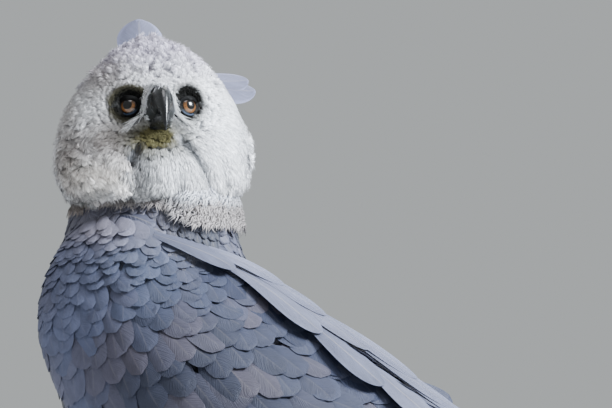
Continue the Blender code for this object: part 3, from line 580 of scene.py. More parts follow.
class Coat:
    """Gathers feathers, and makes them one mesh with their colours and maps."""

    def __init__(self, name):
        self.name = name
        self.points, self.faces, self.tints = [], [], []
        self.tones, self.vanes, self.bakes = [], [], []
        self.total = 0

    def add(self, points, tints, tones, chart):
        """Adds feathers: points by feather, ring and section, and their colours by ring."""
        count, rings, around = points.shape[:3]
        index = np.arange(count * rings * around).reshape(count, rings, around) + self.total
        a, b = index[:, :-1], index[:, 1:]
        a2, b2 = np.roll(a, -1, axis=2), np.roll(b, -1, axis=2)
        sheets = [
            np.stack((a, b, b2), -1).reshape(-1, 3),
            np.stack((a, b2, a2), -1).reshape(-1, 3),
        ]
        for ring, order in ((index[:, 0], 1), (index[:, -1], -1)):
            for k in range(1, around - 1):
                corners = (ring[:, 0], ring[:, k], ring[:, k + 1])[::order]
                sheets.append(np.stack(corners, -1))
        self.faces += sheets
        self.points.append(points.reshape(-1, 3))
        self.total += points[..., 0].size
        shape = (count, rings, around)
        self.tints.append(np.broadcast_to(tints[:, :, None], (*shape, 3)).reshape(-1, 3))
        self.tones.append(np.broadcast_to(tones[:, None, None], shape).ravel())
        across = np.append(np.linspace(0, 1, around - 1), 0.5)
        shares = np.linspace(0, 1, rings)
        vane = np.stack(
            (
                np.broadcast_to(across, shape),
                np.broadcast_to(shares[:, None], shape),
            ),
            -1,
        ).reshape(-1, 2)
        self.vanes.append(vane)
        places = np.broadcast_to(chart[:, None, None], (*shape, 2)).reshape(-1, 2)
        self.bakes.append(places * (1 - BAKE_PATCH) + vane * BAKE_PATCH)

    def finish(self, material, crisp=False):
        """Makes the piece."""
        mesh = mesh_of(self.name, np.concatenate(self.points), np.concatenate(self.faces))
        per_point(mesh, "tint", np.concatenate(self.tints))
        per_point(mesh, "tone", np.concatenate(self.tones))
        uv_layer(mesh, "Vane", np.concatenate(self.vanes))
        uv_layer(mesh, "OFBake", np.concatenate(self.bakes))
        if crisp:
            mesh.set_sharp_from_angle(angle=math.radians(50))
        return show(self.name, mesh, material)


def even(form):
    """Splits an outline into its shares and widths."""
    form = np.array(form, float)
    return form[:, 0], form[:, 1]


def lay(surface, places, flows, lengths, widths, form, lift, **shape):
    """Feathers that follow a surface from their roots.

    lift holds the heights of root, belly and tip over the surface. The other measures are
    across (points over the vane), thick, arch, tilt (a lean to one side) and curl.
    """
    across = np.linspace(-1, 1, shape.get("across", 3))
    thick = shape.get("thick", 0.0008)
    arch, tilt = shape.get("arch", 0.12), shape.get("tilt", 0.0)
    curl = shape.get("curl", 0.0)
    shares, wides = even(form)
    heights = [np.broadcast_to(np.asarray(h, float), lengths.shape) for h in lift]
    at, heading = places.copy(), flows
    tilt = np.broadcast_to(np.asarray(tilt, float), lengths.shape)
    rings = []
    for k, share in enumerate(shares):
        du, dv, out = surface.frame(at)
        heading = unit(heading - dot(heading, out) * out)
        if k:
            heading = turned(heading, out, curl * np.ones(lengths.shape))
            step = (share - shares[k - 1]) * lengths
            at = at + steps_for(du, dv, heading * step[:, None])
            du, dv, out = surface.frame(at)
            heading = unit(heading - dot(heading, out) * out)
        side = np.cross(out, heading)
        half = widths * wides[k] / 2
        height = curve_height(heights, share)
        ring = []
        for x in across:
            place = at + steps_for(du, dv, side * (half * x)[:, None])
            rise = height + tilt * half * x - arch * half * x * x
            ring.append(surface.point(place) + out * rise[:, None])
        under = surface.point(at) + out * (height - thick - arch * half * 0.4)[:, None]
        rings.append(np.stack((*ring, under), 1))
    return np.stack(rings, 1)


def curve_height(heights, share):
    """The height of a feather over its surface, on a curve through root, belly and tip."""
    root, belly, tip = heights
    t = share
    return root * (1 - t) * (1 - 2 * t) + belly * 4 * t * (1 - t) + tip * t * (2 * t - 1)


def free_feathers(roots, tips, faces, widths, bends, form, **shape):
    """Feathers that stand free between two points, bent upwards in the middle."""
    across = np.linspace(-1, 1, shape.get("across", 5))
    thick, arch = shape.get("thick", 0.0008), shape.get("arch", 0.12)
    along = unit(tips - roots)
    side = unit(np.cross(faces, along))
    up = np.cross(along, side)
    shares, wides = even(form)
    rings = []
    for share, wide in zip(shares, wides):
        middle = roots + (tips - roots) * share + up * (bends * 4 * share * (1 - share))[:, None]
        half = widths * wide / 2
        ring = [
            middle + side * (half * x)[:, None] - up * (arch * half * x * x)[:, None]
            for x in across
        ]
        ring.append(middle - up * (thick + arch * half * 0.4)[:, None])
        rings.append(np.stack(ring, 1))
    return np.stack(rings, 1)


def ladder(surface, start, end, angle, spacing, along_first=True):
    """Numbers from start to end that lie evenly spaced along one line of a surface."""
    numbers = np.linspace(start, end, 200)
    other = np.full(200, angle)
    pair = (numbers, other) if along_first else (other, numbers)
    points = surface.point(np.stack(pair, -1))
    run = np.append(0, np.cumsum(np.linalg.norm(np.diff(points, axis=0), axis=1)))
    count = max(int(run[-1] / spacing), 1)
    return np.interp(np.arange(count + 1) * run[-1] / count, run, numbers)


def scatter(surface, rows, start, end, spacing, draw, jitter=0.25):
    """Roots in staggered rows: each row runs round the surface, evenly spaced but for a jitter."""
    places = []
    for k, row in enumerate(rows):
        angles = ladder(surface, start, end, row, spacing, along_first=False)
        step = (angles[1] - angles[0]) if len(angles) > 1 else 0.0
        shifted = angles[:-1] + step * (0.5 * (k % 2) + 0.25)
        shifted = shifted + draw.uniform(-jitter, jitter, len(shifted)) * step
        gap = rows[1] - rows[0] if len(rows) > 1 else 0.0
        heights = row + draw.uniform(-jitter, jitter, len(shifted)) * gap
        places.append(np.stack((heights, shifted), -1))
    return np.concatenate(places)


# --- Colours of the plumage --------------------------------------------------------------


def mixed(base, other, share):
    """Colours mixed by a share for each point."""
    share = np.clip(np.asarray(share), 0, 1)[..., None]
    return base * (1 - share) + np.asarray(other) * share


# Patches of colour on the face: x and z, half sizes, strength, and which colour
FACE_PATCHES = (
    # The next three: painted warm shade on the bird's right side of the face, away from the light, partly
    # brownish plumage
    (-0.050, -0.032, 0.028, 0.020, 0.80, "dusky_and_shade_colour"),
    (-0.092, -0.055, 0.017, 0.038, 0.70, "dusky_and_shade_colour"),
    (-0.028, -0.052, 0.014, 0.020, 0.70, "dusky_and_shade_colour"),
    # The next two: painted shade in the hollow between the right cheek and the throat
    (-0.018, -0.056, 0.015, 0.026, 1.00, "frill_and_shade_colour"),
    (-0.020, -0.056, 0.012, 0.026, 0.50, "collar_and_shade_colour"),
    (-0.062, -0.064, 0.026, 0.014, 0.95, "cream_colour"),
    # Painted shadow under the free edge of the right cheek's flap, partly a brownish band
    (-0.058, -0.096, 0.036, 0.013, 0.85, "dusky_and_shade_colour"),
    # The next two: painted light on the bird's left cheek and throat, which face the lamp, partly whiter
    # plumage
    (0.058, -0.024, 0.034, 0.044, 0.95, "white_and_lit_colour"),
    (0.012, -0.066, 0.020, 0.028, 0.80, "white_and_lit_colour"),
    # Painted warm shade on the bird's right side of the forehead
    (-0.050, 0.030, 0.022, 0.022, 0.60, "dusky_and_shade_colour"),
    (-0.004, -0.0305, 0.0250, 0.0140, 1.40, "chin_colour"),
)


def head_colour(look, points):
    """Pale grey, darker on the crown and nape, black round the eyes and olive on the chin, with painted light
    and shade.
    """
    local = to_head(points)
    x, y, z = local[..., 0], local[..., 1], local[..., 2]
    colour = np.broadcast_to(np.array(look.face_colour), points.shape).copy()
    colour = mixed(colour, look.crown_colour, ease(z, 0.015, 0.060) * 0.85)
    # Painted warm shade along the bird's right edge of the face, partly brownish tufts
    dusky_tufts_and_shade = ease(-x, 0.060, 0.085) * ease(waves(points, 0.008, 71), -0.7, 0.6)
    colour = mixed(colour, look.dusky_and_shade_colour, dusky_tufts_and_shade * 0.55)
    colour = mixed(colour, look.nape_colour, ease(y, -0.005, 0.045))
    front = ease(-y, 0.0, 0.02)
    for cx, cz, half_x, half_z, strength, name in FACE_PATCHES:
        share = np.exp(-(((x - cx) / half_x) ** 2) - ((z - cz) / half_z) ** 2)
        colour = mixed(colour, getattr(look, name), share * strength * front)
    # Painted shade in the creases of the face
    for line in FACE_CREASES:
        gap = distance_to_line(x, z, line)
        colour = mixed(colour, (0.15, 0.16, 0.18), np.exp(-((gap / 0.0040) ** 2)) * 0.8 * front)
    for side in (1, -1):
        # The right eye's wider, fuller olive ring is painted shade of the side away from the light
        wide, middle, tall, olive = (0.92, 0.002, 0.92, 0.45) if side > 0 else (1.15, 0.0, 1.0, 1.0)
        ring = np.hypot((x - side * 0.0285) / wide, (z - middle) * tall)
        olive = olive * (1 - ease(ring, 0.0155, 0.0225))
        colour = mixed(colour, (0.10, 0.092, 0.062), olive * front)
        # The black patch: dark plumage round the eye, deepened as painted shade of the brow
        edge = 0.0132 if side > 0 else 0.0112
        colour = mixed(colour, look.eye_patch_and_shade_colour, (1 - ease(ring, edge, 0.0172)) * front)
        streak = distance_to_line(x, z, ((side * 0.040, 0.0), (side * 0.051, -0.0045)))
        colour = mixed(colour, (0.07, 0.07, 0.07), (1 - ease(streak, 0.0006, 0.0024)) * front * 0.8)
    frill = ease(-z, 0.070, 0.088) * ease(waves(points, 0.006, 72), -1.0, 0.5)
    return mixed(colour, look.frill_and_shade_colour, frill * 0.85)


def body_colour(look, places):
    """Dark collar and breast, slate back, and a white belly with grey bars."""
    station, angle = places[..., 0], np.mod(places[..., 1], 2 * math.pi)
    front = ease(-np.cos(angle), -0.25, 0.45)
    colour = np.broadcast_to(np.array(look.mantle_colour), (*station.shape, 3)).copy()
    behind = ease(np.cos(angle), -0.2, 0.5)
    colour = mixed(colour, look.collar_and_shade_colour, (1 - ease(station, 2.2, 4.2)) * behind)
    before_wing = ((station - 2.3) / 0.8) ** 2 + ((angle - 1.85) / 0.55) ** 2
    colour = mixed(colour, look.mantle_patch_colour, np.exp(-before_wing) * 0.9)
    under_collar = ease(np.cos(angle), 0.30, 0.60) * (1 - ease(station, 1.10, 1.45))
    colour = mixed(colour, look.face_colour, under_collar * 0.85)
    colour = mixed(colour, look.collar_and_shade_colour, front * ease(station, 3.0, 4.0))
    colour = mixed(colour, look.belly_colour, front * ease(station, 6.1, 6.5))
    return colour


def wing_colour(look, places):
    """Slate blue, browner and darker low down and towards the tip, with painted light and shade."""
    p, q = places[..., 0], places[..., 1]
    colour = np.broadcast_to(np.array(look.wing_colour), (*p.shape, 3)).copy()
    # Painted light on the shoulder, which faces away from the lamp, and painted shade on the middle of the
    # wing
    shoulder = 1 - ease(p, 0.3, 1.5)
    middle = np.exp(-(((p - 2.2) / 0.9) ** 2) - ((q - 0.42) / 0.24) ** 2)
    colour = colour * (1 + 1.30 * shoulder - 0.42 * middle)[..., None]
    low = ease(q, 0.55, 1.0) * ease(p, 0.2, 1.6)
    colour = mixed(colour, look.wing_shade_colour, low * 0.60)
    colour = mixed(colour, look.wing_shade_colour, ease(p, 3.5, 5.5) * 0.5)
    return colour


# --- Materials ---------------------------------------------------------------------------


class Nodes:
    """A few short calls to fill a node tree."""

    def __init__(self, tree):
        self.tree = tree

    def add(self, kind, settings=None, inputs=None):
        """A new node with its settings, and its inputs set or linked by name or number."""
        node = self.tree.nodes.new(kind)
        for name, value in (settings or {}).items():
            setattr(node, name, value)
        for key, value in (inputs or {}).items():
            socket = node.inputs[key]
            if isinstance(value, bpy.types.NodeSocket):
                self.tree.links.new(value, socket)
            else:
                socket.default_value = value
        return node

    def math(self, operation, *values, clamp=False):
        """The result of a Math node."""
        inputs = dict(enumerate(values))
        node = self.add("ShaderNodeMath", {"operation": operation, "use_clamp": clamp}, inputs)
        return node.outputs[0]

    def ramp(self, value, low, high, to_low=0.0, to_high=1.0):
        """A value spread smoothly over a range."""
        inputs = {"Value": value, 1: low, 2: high, 3: to_low, 4: to_high}
        settings = {"interpolation_type": "SMOOTHSTEP"}
        return self.add("ShaderNodeMapRange", settings, inputs).outputs[0]

    def mix(self, share, a, b, blend="MIX"):
        """Two colours mixed by a share."""
        settings = {"data_type": "RGBA", "blend_type": blend}
        inputs = {0: share, 6: a, 7: b}
        return self.add("ShaderNodeMix", settings, inputs).outputs[2]

    def brighter(self, colour, factor):
        """A colour times a factor."""
        if isinstance(colour, tuple):
            colour = colour[:3]
        return self.add(
            "ShaderNodeVectorMath", {"operation": "SCALE"}, {0: colour, "Scale": factor}
        ).outputs[0]

    def vector(self, x, y, z):
        """A vector from three values."""
        return self.add("ShaderNodeCombineXYZ", None, {0: x, 1: y, 2: z}).outputs[0]


def new_group(name, inputs, outputs):
    """An empty shader node group with its sockets, and the ends to wire."""
    group = bpy.data.node_groups.new(name, "ShaderNodeTree")
    for socket, kind, value in inputs:
        made = group.interface.new_socket(socket, in_out="INPUT", socket_type=kind)
        made.default_value = value
    for socket, kind in outputs:
        group.interface.new_socket(socket, in_out="OUTPUT", socket_type=kind)
    nodes = Nodes(group)
    start = nodes.add("NodeGroupInput")
    end = nodes.add("NodeGroupOutput")
    return group, nodes, start.outputs, end.inputs


def feather_group():
    """Barbs, shaft, pale rim and dark bars of a feather, drawn along its own map."""
    name = "Feather marks"
    if name in bpy.data.node_groups:
        return bpy.data.node_groups[name]
    number, colour = "NodeSocketFloat", "NodeSocketColor"
    group, nodes, given, result = new_group(
        name,
        (
            ("Tint", colour, (0.5, 0.5, 0.5, 1)),
            ("Tone", number, 0.5),
            ("Barbs", number, 40.0),
            ("Streak", number, 0.5),
            ("Shaft", number, 0.5),
            ("Rim", number, 0.5),
            ("Bars", number, 0.0),
            ("Bar Depth", number, 0.0),
        ),
        (("Colour", colour), ("Height", number), ("Rough", number)),
    )
    place = nodes.add("ShaderNodeUVMap", {"uv_map": "Vane"}).outputs[0]
    split = nodes.add("ShaderNodeSeparateXYZ", None, {0: place}).outputs
    middle = nodes.math("SUBTRACT", split[0], 0.5)
    side = nodes.math("MULTIPLY", nodes.math("ABSOLUTE", middle), 2.0)
    along = nodes.math("SUBTRACT", split[1], nodes.math("MULTIPLY", side, 0.34))
    which = nodes.math("MULTIPLY", nodes.math("SIGN", middle), 3.0)
    seed = nodes.math("MULTIPLY", given["Tone"], 60.0)
    spread = nodes.vector(
        nodes.math("MULTIPLY", along, given["Barbs"]),
        nodes.math("ADD", which, nodes.math("MULTIPLY", side, 1.2)),
        seed,
    )
    barbs = nodes.add(
        "ShaderNodeTexNoise", None, {"Vector": spread, "Scale": 1.0, "Detail": 3.0}
    ).outputs[0]
    streak = nodes.math("SUBTRACT", nodes.ramp(barbs, 0.3, 0.7), 0.5)
    patchy = nodes.add(
        "ShaderNodeTexNoise",
        None,
        {"Vector": nodes.vector(split[0], split[1], seed), "Scale": 3.0, "Detail": 2.0},
    ).outputs[0]
    shade = nodes.math("MULTIPLY_ADD", streak, given["Streak"], 1.0)
    shade = nodes.math("MULTIPLY", shade, nodes.ramp(patchy, 0.25, 0.75, 0.88, 1.12))
    body = nodes.brighter(given["Tint"], shade)
    wave = nodes.math("SINE", nodes.math("MULTIPLY", split[1], given["Bars"]))
    ragged = nodes.math("ADD", wave, nodes.math("MULTIPLY", streak, 0.5))
    bars = nodes.math("MULTIPLY", nodes.ramp(ragged, -0.15, 0.25), given["Bar Depth"])
    body = nodes.mix(bars, body, (0.022, 0.023, 0.027, 1))
    tip = nodes.ramp(split[1], 0.86, 1.0)
    edge = nodes.math("MAXIMUM", nodes.ramp(side, 0.70, 1.0), tip)
    rim = nodes.math("MULTIPLY", edge, given["Rim"])
    body = nodes.mix(rim, body, nodes.brighter(given["Tint"], 2.1))
    shaft = nodes.math("MULTIPLY", nodes.ramp(side, 0.085, 0.02), given["Shaft"])
    shaft = nodes.math("MULTIPLY", shaft, nodes.ramp(split[1], 1.0, 0.8))
    body = nodes.mix(shaft, body, (0.42, 0.38, 0.34, 1))
    height = nodes.math("MULTIPLY_ADD", shaft, 1.2, nodes.math("MULTIPLY", streak, 0.8))
    links = group.links
    links.new(body, result["Colour"])
    links.new(height, result["Height"])
    links.new(nodes.ramp(barbs, 0.3, 0.7, 0.52, 0.72), result["Rough"])
    return group


def down_group():
    """Soft tips and darker roots of the small blades that make the head's plumage."""
    name = "Downy marks"
    if name in bpy.data.node_groups:
        return bpy.data.node_groups[name]
    number, colour = "NodeSocketFloat", "NodeSocketColor"
    group, nodes, given, result = new_group(
        name,
        (
            ("Tint", colour, (0.5, 0.5, 0.5, 1)),
            ("Tone", number, 0.5),
            ("Root", number, 0.5),
            ("Spread", number, 0.3),
        ),
        (("Colour", colour), ("Height", number)),
    )
    place = nodes.add("ShaderNodeUVMap", {"uv_map": "Vane"}).outputs[0]
    split = nodes.add("ShaderNodeSeparateXYZ", None, {0: place}).outputs
    depth = nodes.ramp(split[1], 0.0, 0.75)
    low = nodes.math("SUBTRACT", 1.0, given["Root"])
    shade = nodes.math("MULTIPLY_ADD", depth, given["Root"], low)
    tone = nodes.math("MULTIPLY_ADD", given["Tone"], given["Spread"], 1.0)
    tone = nodes.math("SUBTRACT", tone, nodes.math("MULTIPLY", given["Spread"], 0.5))
    body = nodes.brighter(given["Tint"], nodes.math("MULTIPLY", shade, tone))
    grain = nodes.add(
        "ShaderNodeTexNoise",
        None,
        {
            "Vector": nodes.vector(
                nodes.math("MULTIPLY", split[0], 4.0),
                split[1],
                nodes.math("MULTIPLY", given["Tone"], 40.0),
            ),
            "Scale": 2.0,
        },
    ).outputs[0]
    group.links.new(body, result["Colour"])
    group.links.new(grain, result["Height"])
    return group


def new_material(name):
    """An empty material with its Principled shader."""
    made = bpy.data.materials.new(name)
    made.use_nodes = True
    nodes = Nodes(made.node_tree)
    return made, nodes, made.node_tree.nodes["Principled BSDF"]


def shared_material(name, make):
    """The material of that name, made by the first piece that needs it."""
    return bpy.data.materials.get(name) or make()


def attribute(nodes, name, output="Color"):
    """A value kept on the points of the mesh."""
    return nodes.add("ShaderNodeAttribute", {"attribute_name": name}).outputs[output]


def placed_group(nodes, group, inputs):
    """A shader group set into a material."""
    return nodes.add("ShaderNodeGroup", {"node_tree": group}, inputs).outputs


def bumped(nodes, shader, height, distance, strength=1.0):
    """Wires a height to the shader's normal."""
    inputs = {"Height": height, "Distance": distance, "Strength": strength}
    bump = nodes.add("ShaderNodeBump", None, inputs)
    nodes.tree.links.new(bump.outputs[0], shader.inputs["Normal"])


def feather_material(name, barbs, streak, shaft, rim, bars=0.0, bar_depth=0.0):
    """Plumage of feathers with a vane."""
    if name in bpy.data.materials:
        return bpy.data.materials[name]
    made, nodes, shader = new_material(name)
    marks = placed_group(
        nodes,
        feather_group(),
        {
            "Tint": attribute(nodes, "tint"),
            "Tone": attribute(nodes, "tone", "Fac"),
            "Barbs": barbs,
            "Streak": streak,
            "Shaft": shaft,
            "Rim": rim,
            "Bars": bars,
            "Bar Depth": bar_depth,
        },
    )
    nodes.tree.links.new(marks["Colour"], shader.inputs["Base Color"])
    nodes.tree.links.new(marks["Rough"], shader.inputs["Roughness"])
    shader.inputs["Specular IOR Level"].default_value = 0.35
    bumped(nodes, shader, marks["Height"], 0.0004, 0.7)
    return made


def down_material(name, root, spread):
    """Plumage of soft blades."""
    if name in bpy.data.materials:
        return bpy.data.materials[name]
    made, nodes, shader = new_material(name)
    marks = placed_group(
        nodes,
        down_group(),
        {
            "Tint": attribute(nodes, "tint"),
            "Tone": attribute(nodes, "tone", "Fac"),
            "Root": root,
            "Spread": spread,
        },
    )
    nodes.tree.links.new(marks["Colour"], shader.inputs["Base Color"])
    shader.inputs["Roughness"].default_value = 0.78
    shader.inputs["Specular IOR Level"].default_value = 0.2
    bumped(nodes, shader, marks["Height"], 0.0002, 0.5)
    return made


def skin_material():
    """The down under the plumage, in the plumage's own colours."""
    made, nodes, shader = new_material("down_under_plumage")
    place = nodes.add("ShaderNodeTexCoord").outputs["Object"]
    fluff = nodes.add(
        "ShaderNodeTexNoise", None, {"Vector": place, "Scale": 420.0, "Detail": 3.0}
    ).outputs[0]
    shade = nodes.ramp(fluff, 0.3, 0.7, 0.55, 0.95)
    body = nodes.brighter(attribute(nodes, "tint"), shade)
    nodes.tree.links.new(body, shader.inputs["Base Color"])
    shader.inputs["Roughness"].default_value = 0.85
    bumped(nodes, shader, fluff, 0.0015)
    return made


def horn_material(name, colour, tip_colour, roughness, growth):
    """Bill and claw horn with faint growth lines and worn, darker ends."""
    made, nodes, shader = new_material(name)
    place = nodes.add("ShaderNodeTexCoord").outputs["Object"]
    share = attribute(nodes, "share", "Fac")
    wear = nodes.add(
        "ShaderNodeTexNoise", None, {"Vector": place, "Scale": 160.0, "Detail": 5.0}
    ).outputs[0]
    lines = nodes.add(
        "ShaderNodeTexNoise",
        None,
        {
            "Vector": nodes.vector(nodes.math("MULTIPLY", share, growth), 0.0, wear),
            "Scale": 1.0,
            "Detail": 2.0,
        },
    ).outputs[0]
    base = nodes.mix(nodes.ramp(share, 0.1, 0.9), (*colour, 1), (*tip_colour, 1))
    base = nodes.brighter(base, nodes.ramp(lines, 0.3, 0.7, 0.8, 1.25))
    nodes.tree.links.new(base, shader.inputs["Base Color"])
    rough = nodes.ramp(wear, 0.3, 0.7, roughness * 0.8, roughness * 1.35)
    nodes.tree.links.new(rough, shader.inputs["Roughness"])
    shader.inputs["Coat Weight"].default_value = 0.25
    shader.inputs["Coat Roughness"].default_value = 0.25
    height = nodes.math("MULTIPLY_ADD", lines, 1.0, nodes.math("MULTIPLY", wear, 0.4))
    bumped(nodes, shader, height, 0.0003, 0.6)
    return made


def cere_material():
    """The waxy skin at the root of the bill, with painted shade in its nostrils."""
    made, nodes, shader = new_material("cere_skin")
    place = nodes.add("ShaderNodeTexCoord").outputs["Object"]
    pores = nodes.add("ShaderNodeTexVoronoi", None, {"Vector": place, "Scale": 900.0}).outputs[0]
    cloud = nodes.add(
        "ShaderNodeTexNoise", None, {"Vector": place, "Scale": 120.0, "Detail": 4.0}
    ).outputs[0]
    base = nodes.mix(nodes.ramp(cloud, 0.3, 0.7), (0.006, 0.007, 0.007, 1), (0.017, 0.020, 0.021, 1))
    # Painted shade inside the nostrils
    base = nodes.mix(attribute(nodes, "pit", "Fac"), base, (0.002, 0.002, 0.002, 1))
    nodes.tree.links.new(base, shader.inputs["Base Color"])
    shader.inputs["Roughness"].default_value = 0.42
    height = nodes.math("MULTIPLY_ADD", pores, 0.5, cloud)
    bumped(nodes, shader, height, 0.0004, 0.6)
    return made


def lid_material():
    """Near-black bare skin of the lids, partly painted shade of the brow, bluish along the lower lid's edge.
    """
    made, nodes, shader = new_material("lid_skin")
    place = nodes.add("ShaderNodeTexCoord").outputs["Object"]
    folds = nodes.add(
        "ShaderNodeTexNoise", None, {"Vector": place, "Scale": 700.0, "Detail": 4.0}
    ).outputs[0]
    lower = attribute(nodes, "lower", "Fac")
    # Near-black: the lids' dark skin deepened as painted shade of the brow
    base = nodes.mix(lower, (0.0009, 0.0009, 0.001, 1), (0.028, 0.042, 0.072, 1))
    base = nodes.brighter(base, nodes.ramp(folds, 0.3, 0.7, 0.7, 1.3))
    nodes.tree.links.new(base, shader.inputs["Base Color"])
    shader.inputs["Roughness"].default_value = 0.6
    shader.inputs["Specular IOR Level"].default_value = 0.10
    bumped(nodes, shader, folds, 0.0004, 0.7)
    return made


def eye_material(look):
    """A brown iris with radial fibres round a black pupil, under a wet clear surface, with painted shade over
    its top.
    """
    made, nodes, shader = new_material("wet_eye")
    away = attribute(nodes, "away", "Fac")
    around = attribute(nodes, "around", "Fac")
    ray = nodes.vector(
        nodes.math("MULTIPLY", nodes.math("SINE", around), 9.0),
        nodes.math("MULTIPLY", nodes.math("COSINE", around), 9.0),
        nodes.math("MULTIPLY", away, 2.0),
    )
    fibres = nodes.add(
        "ShaderNodeTexNoise", None, {"Vector": ray, "Scale": 1.6, "Detail": 4.0}
    ).outputs[0]
    iris = nodes.brighter((*look.iris_colour, 1), nodes.ramp(fibres, 0.3, 0.7, 0.55, 1.5))
    # Painted shade of the lids and brow over the upper iris
    above = nodes.math("MULTIPLY", nodes.math("SINE", around), away)
    iris = nodes.brighter(iris, nodes.ramp(above, -0.12, 0.32, 1.0, 0.10))
    inner, outer = PUPIL_ANGLE, IRIS_ANGLE
    colour = nodes.mix(nodes.ramp(away, inner - 0.02, inner + 0.02), (0.002, 0.002, 0.002, 1), iris)
    dark_ring = nodes.ramp(away, outer - 0.11, outer - 0.01)
    colour = nodes.mix(dark_ring, colour, (0.006, 0.004, 0.003, 1))
    nodes.tree.links.new(colour, shader.inputs["Base Color"])
    shader.inputs["Roughness"].default_value = 0.35
    shader.inputs["Specular IOR Level"].default_value = 0.1
    shader.inputs["Coat Weight"].default_value = 1.0
    shader.inputs["Coat Roughness"].default_value = 0.02
    return made


def foot_material(look):
    """Yellow foot skin with small granular scales, darker between them."""
    made, nodes, shader = new_material("foot_skin")
    place = nodes.add("ShaderNodeTexCoord").outputs["Object"]
    scales = nodes.add(
        "ShaderNodeTexVoronoi",
        {"feature": "DISTANCE_TO_EDGE"},
        {"Vector": place, "Scale": 330.0},
    ).outputs[0]
    cloud = nodes.add(
        "ShaderNodeTexNoise", None, {"Vector": place, "Scale": 60.0, "Detail": 5.0}
    ).outputs[0]
    flat = nodes.ramp(scales, 0.02, 0.16)
    dark = tuple(channel * 0.42 for channel in look.foot_colour)
    base = nodes.mix(flat, (*dark, 1), (*look.foot_colour, 1))
    base = nodes.brighter(base, nodes.ramp(cloud, 0.3, 0.7, 0.75, 1.2))
    nodes.tree.links.new(base, shader.inputs["Base Color"])
    shader.inputs["Roughness"].default_value = 0.5
    bumped(nodes, shader, flat, 0.0006, 0.8)
    return made


def studio_material(name, colour):
    """Plain matt paint of the floor."""
    made, nodes, shader = new_material(name)
    place = nodes.add("ShaderNodeTexCoord").outputs["Object"]
    cloud = nodes.add("ShaderNodeTexNoise", None, {"Vector": place, "Scale": 3.0}).outputs[0]
    base = nodes.brighter((*colour, 1), nodes.ramp(cloud, 0.3, 0.7, 0.98, 1.02))
    nodes.tree.links.new(base, shader.inputs["Base Color"])
    shader.inputs["Roughness"].default_value = 0.9
    return made


# --- Skin --------------------------------------------------------------------------------


def inset_grid(surface, rows, angles, depth):
    """Rings of a surface, drawn in by a depth that may vary over it."""
    places = np.stack(np.meshgrid(rows, angles, indexing="ij"), -1)
    out = surface.frame(places)[2]
    depths = depth(places) if callable(depth) else np.full(places.shape[:2], depth)
    return surface.point(places) - out * depths[..., None]


def head_coat_depth(places):
    """How deep the head's skin lies under its plumage: shallow by the bill and the eyes."""
    local = head_local(places[..., 0], places[..., 1])
    return coat_depth_at(local)


def coat_depth_at(local):
    """The depth of the head's plumage at points of the head's own frame."""
    depth = 0.0030 + 0.0040 * ease(from_eye_and_bill(local), 0.0, 0.026)
    return np.where(local[..., 1] < 0, depth, 0.0070)


def wing_core_rings(side):
    """Rings of the arm and hand inside a folded wing, back to the flight feathers' roots."""
    surface = WINGS[side]
    rings = []
    for p in np.linspace(0.0, 3.8, 20):
        high = np.interp(p, (0, 0.25, 2.0, 3.8), (0.05, 0.0, 0.03, 0.14))
        low = np.interp(p, (0, 0.25, 2.0, 3.8), (0.88, 0.96, 0.97, 0.72))
        q = high + (low - high) * np.linspace(0, 1, 13)
        places = np.stack((np.full(13, p), q), -1)
        out = surface.frame(places)[2]
        nose = 0.004 * (1 - ease(p, 0.0, 0.3))
        outer = surface.point(places) - out * (core_depth(p, q) + nose)[:, None]
        floor = np.interp(p, (0, 0.25, 0.8, 3.1, 3.8), (0.016, 0.026, 0.036, 0.034, 0.027))
        inner = (surface.point(places) - out * floor)[1:-1][::-1]
        rings.append(np.vstack((outer, inner)))
    return rings


def tail_core_rings():
    """Rings of the tail's root."""
    rings = []
    up = np.array((0, math.sin(TAIL_SLOPE), math.cos(TAIL_SLOPE)))
    for k in range(6):
        length = -0.035 + 0.150 * k / 5
        half, thick = 0.030 - 0.0012 * k, 0.015 - 0.0019 * k
        c, s = squared(np.linspace(0, 2 * math.pi, 20, endpoint=False), 2.2)
        upper = tail_shape(half * c, np.full(20, length))
        rings.append(upper - up * (0.0085 + thick * s)[:, None])
    return rings


def skin_parts():
    """Closed skins of all the flesh under the plumage, as points and triangles."""
    around = np.linspace(0, 2 * math.pi, 64, endpoint=False)
    head = inset_grid(HEAD, np.linspace(0, LAST_LEVEL, 56), around, head_coat_depth)
    body = inset_grid(BODY, np.linspace(0, LAST_BODY, 70), around, 0.0075)
    parts = [tube_arrays(head), tube_arrays(body), tube_arrays(tail_core_rings())]
    for side in (1, -1):
        thigh = inset_grid(THIGHS[side], np.linspace(0, 5, 30), around[::2], 0.0060)
        parts += [tube_arrays(thigh), tube_arrays(wing_core_rings(side))]
    return parts


def joined(parts):
    """Several point and face arrays as one."""
    points, faces, total = [], [], 0
    for some_points, some_faces in parts:
        points.append(some_points)
        faces.append(some_faces + total)
        total += len(some_points)
    return np.concatenate(points), np.concatenate(faces)


def melted(name, parts, voxel, rounds):
    """One smooth closed mesh out of several that run into each other."""
    mesh = outward(mesh_of(name, *joined(parts)))
    obj = bpy.data.objects.new(name, mesh)
    bpy.context.scene.collection.objects.link(obj)
    remesh = obj.modifiers.new("Melt", "REMESH")
    remesh.mode = "VOXEL"
    remesh.voxel_size = voxel
    smooth = obj.modifiers.new("Smooth", "SMOOTH")
    smooth.factor = 0.6
    smooth.iterations = rounds
    graph = bpy.context.evaluated_depsgraph_get()
    result = bpy.data.meshes.new_from_object(obj.evaluated_get(graph))
    bpy.data.objects.remove(obj)
    bpy.data.meshes.remove(mesh)
    result.name = name
    result.shade_smooth()
    return result


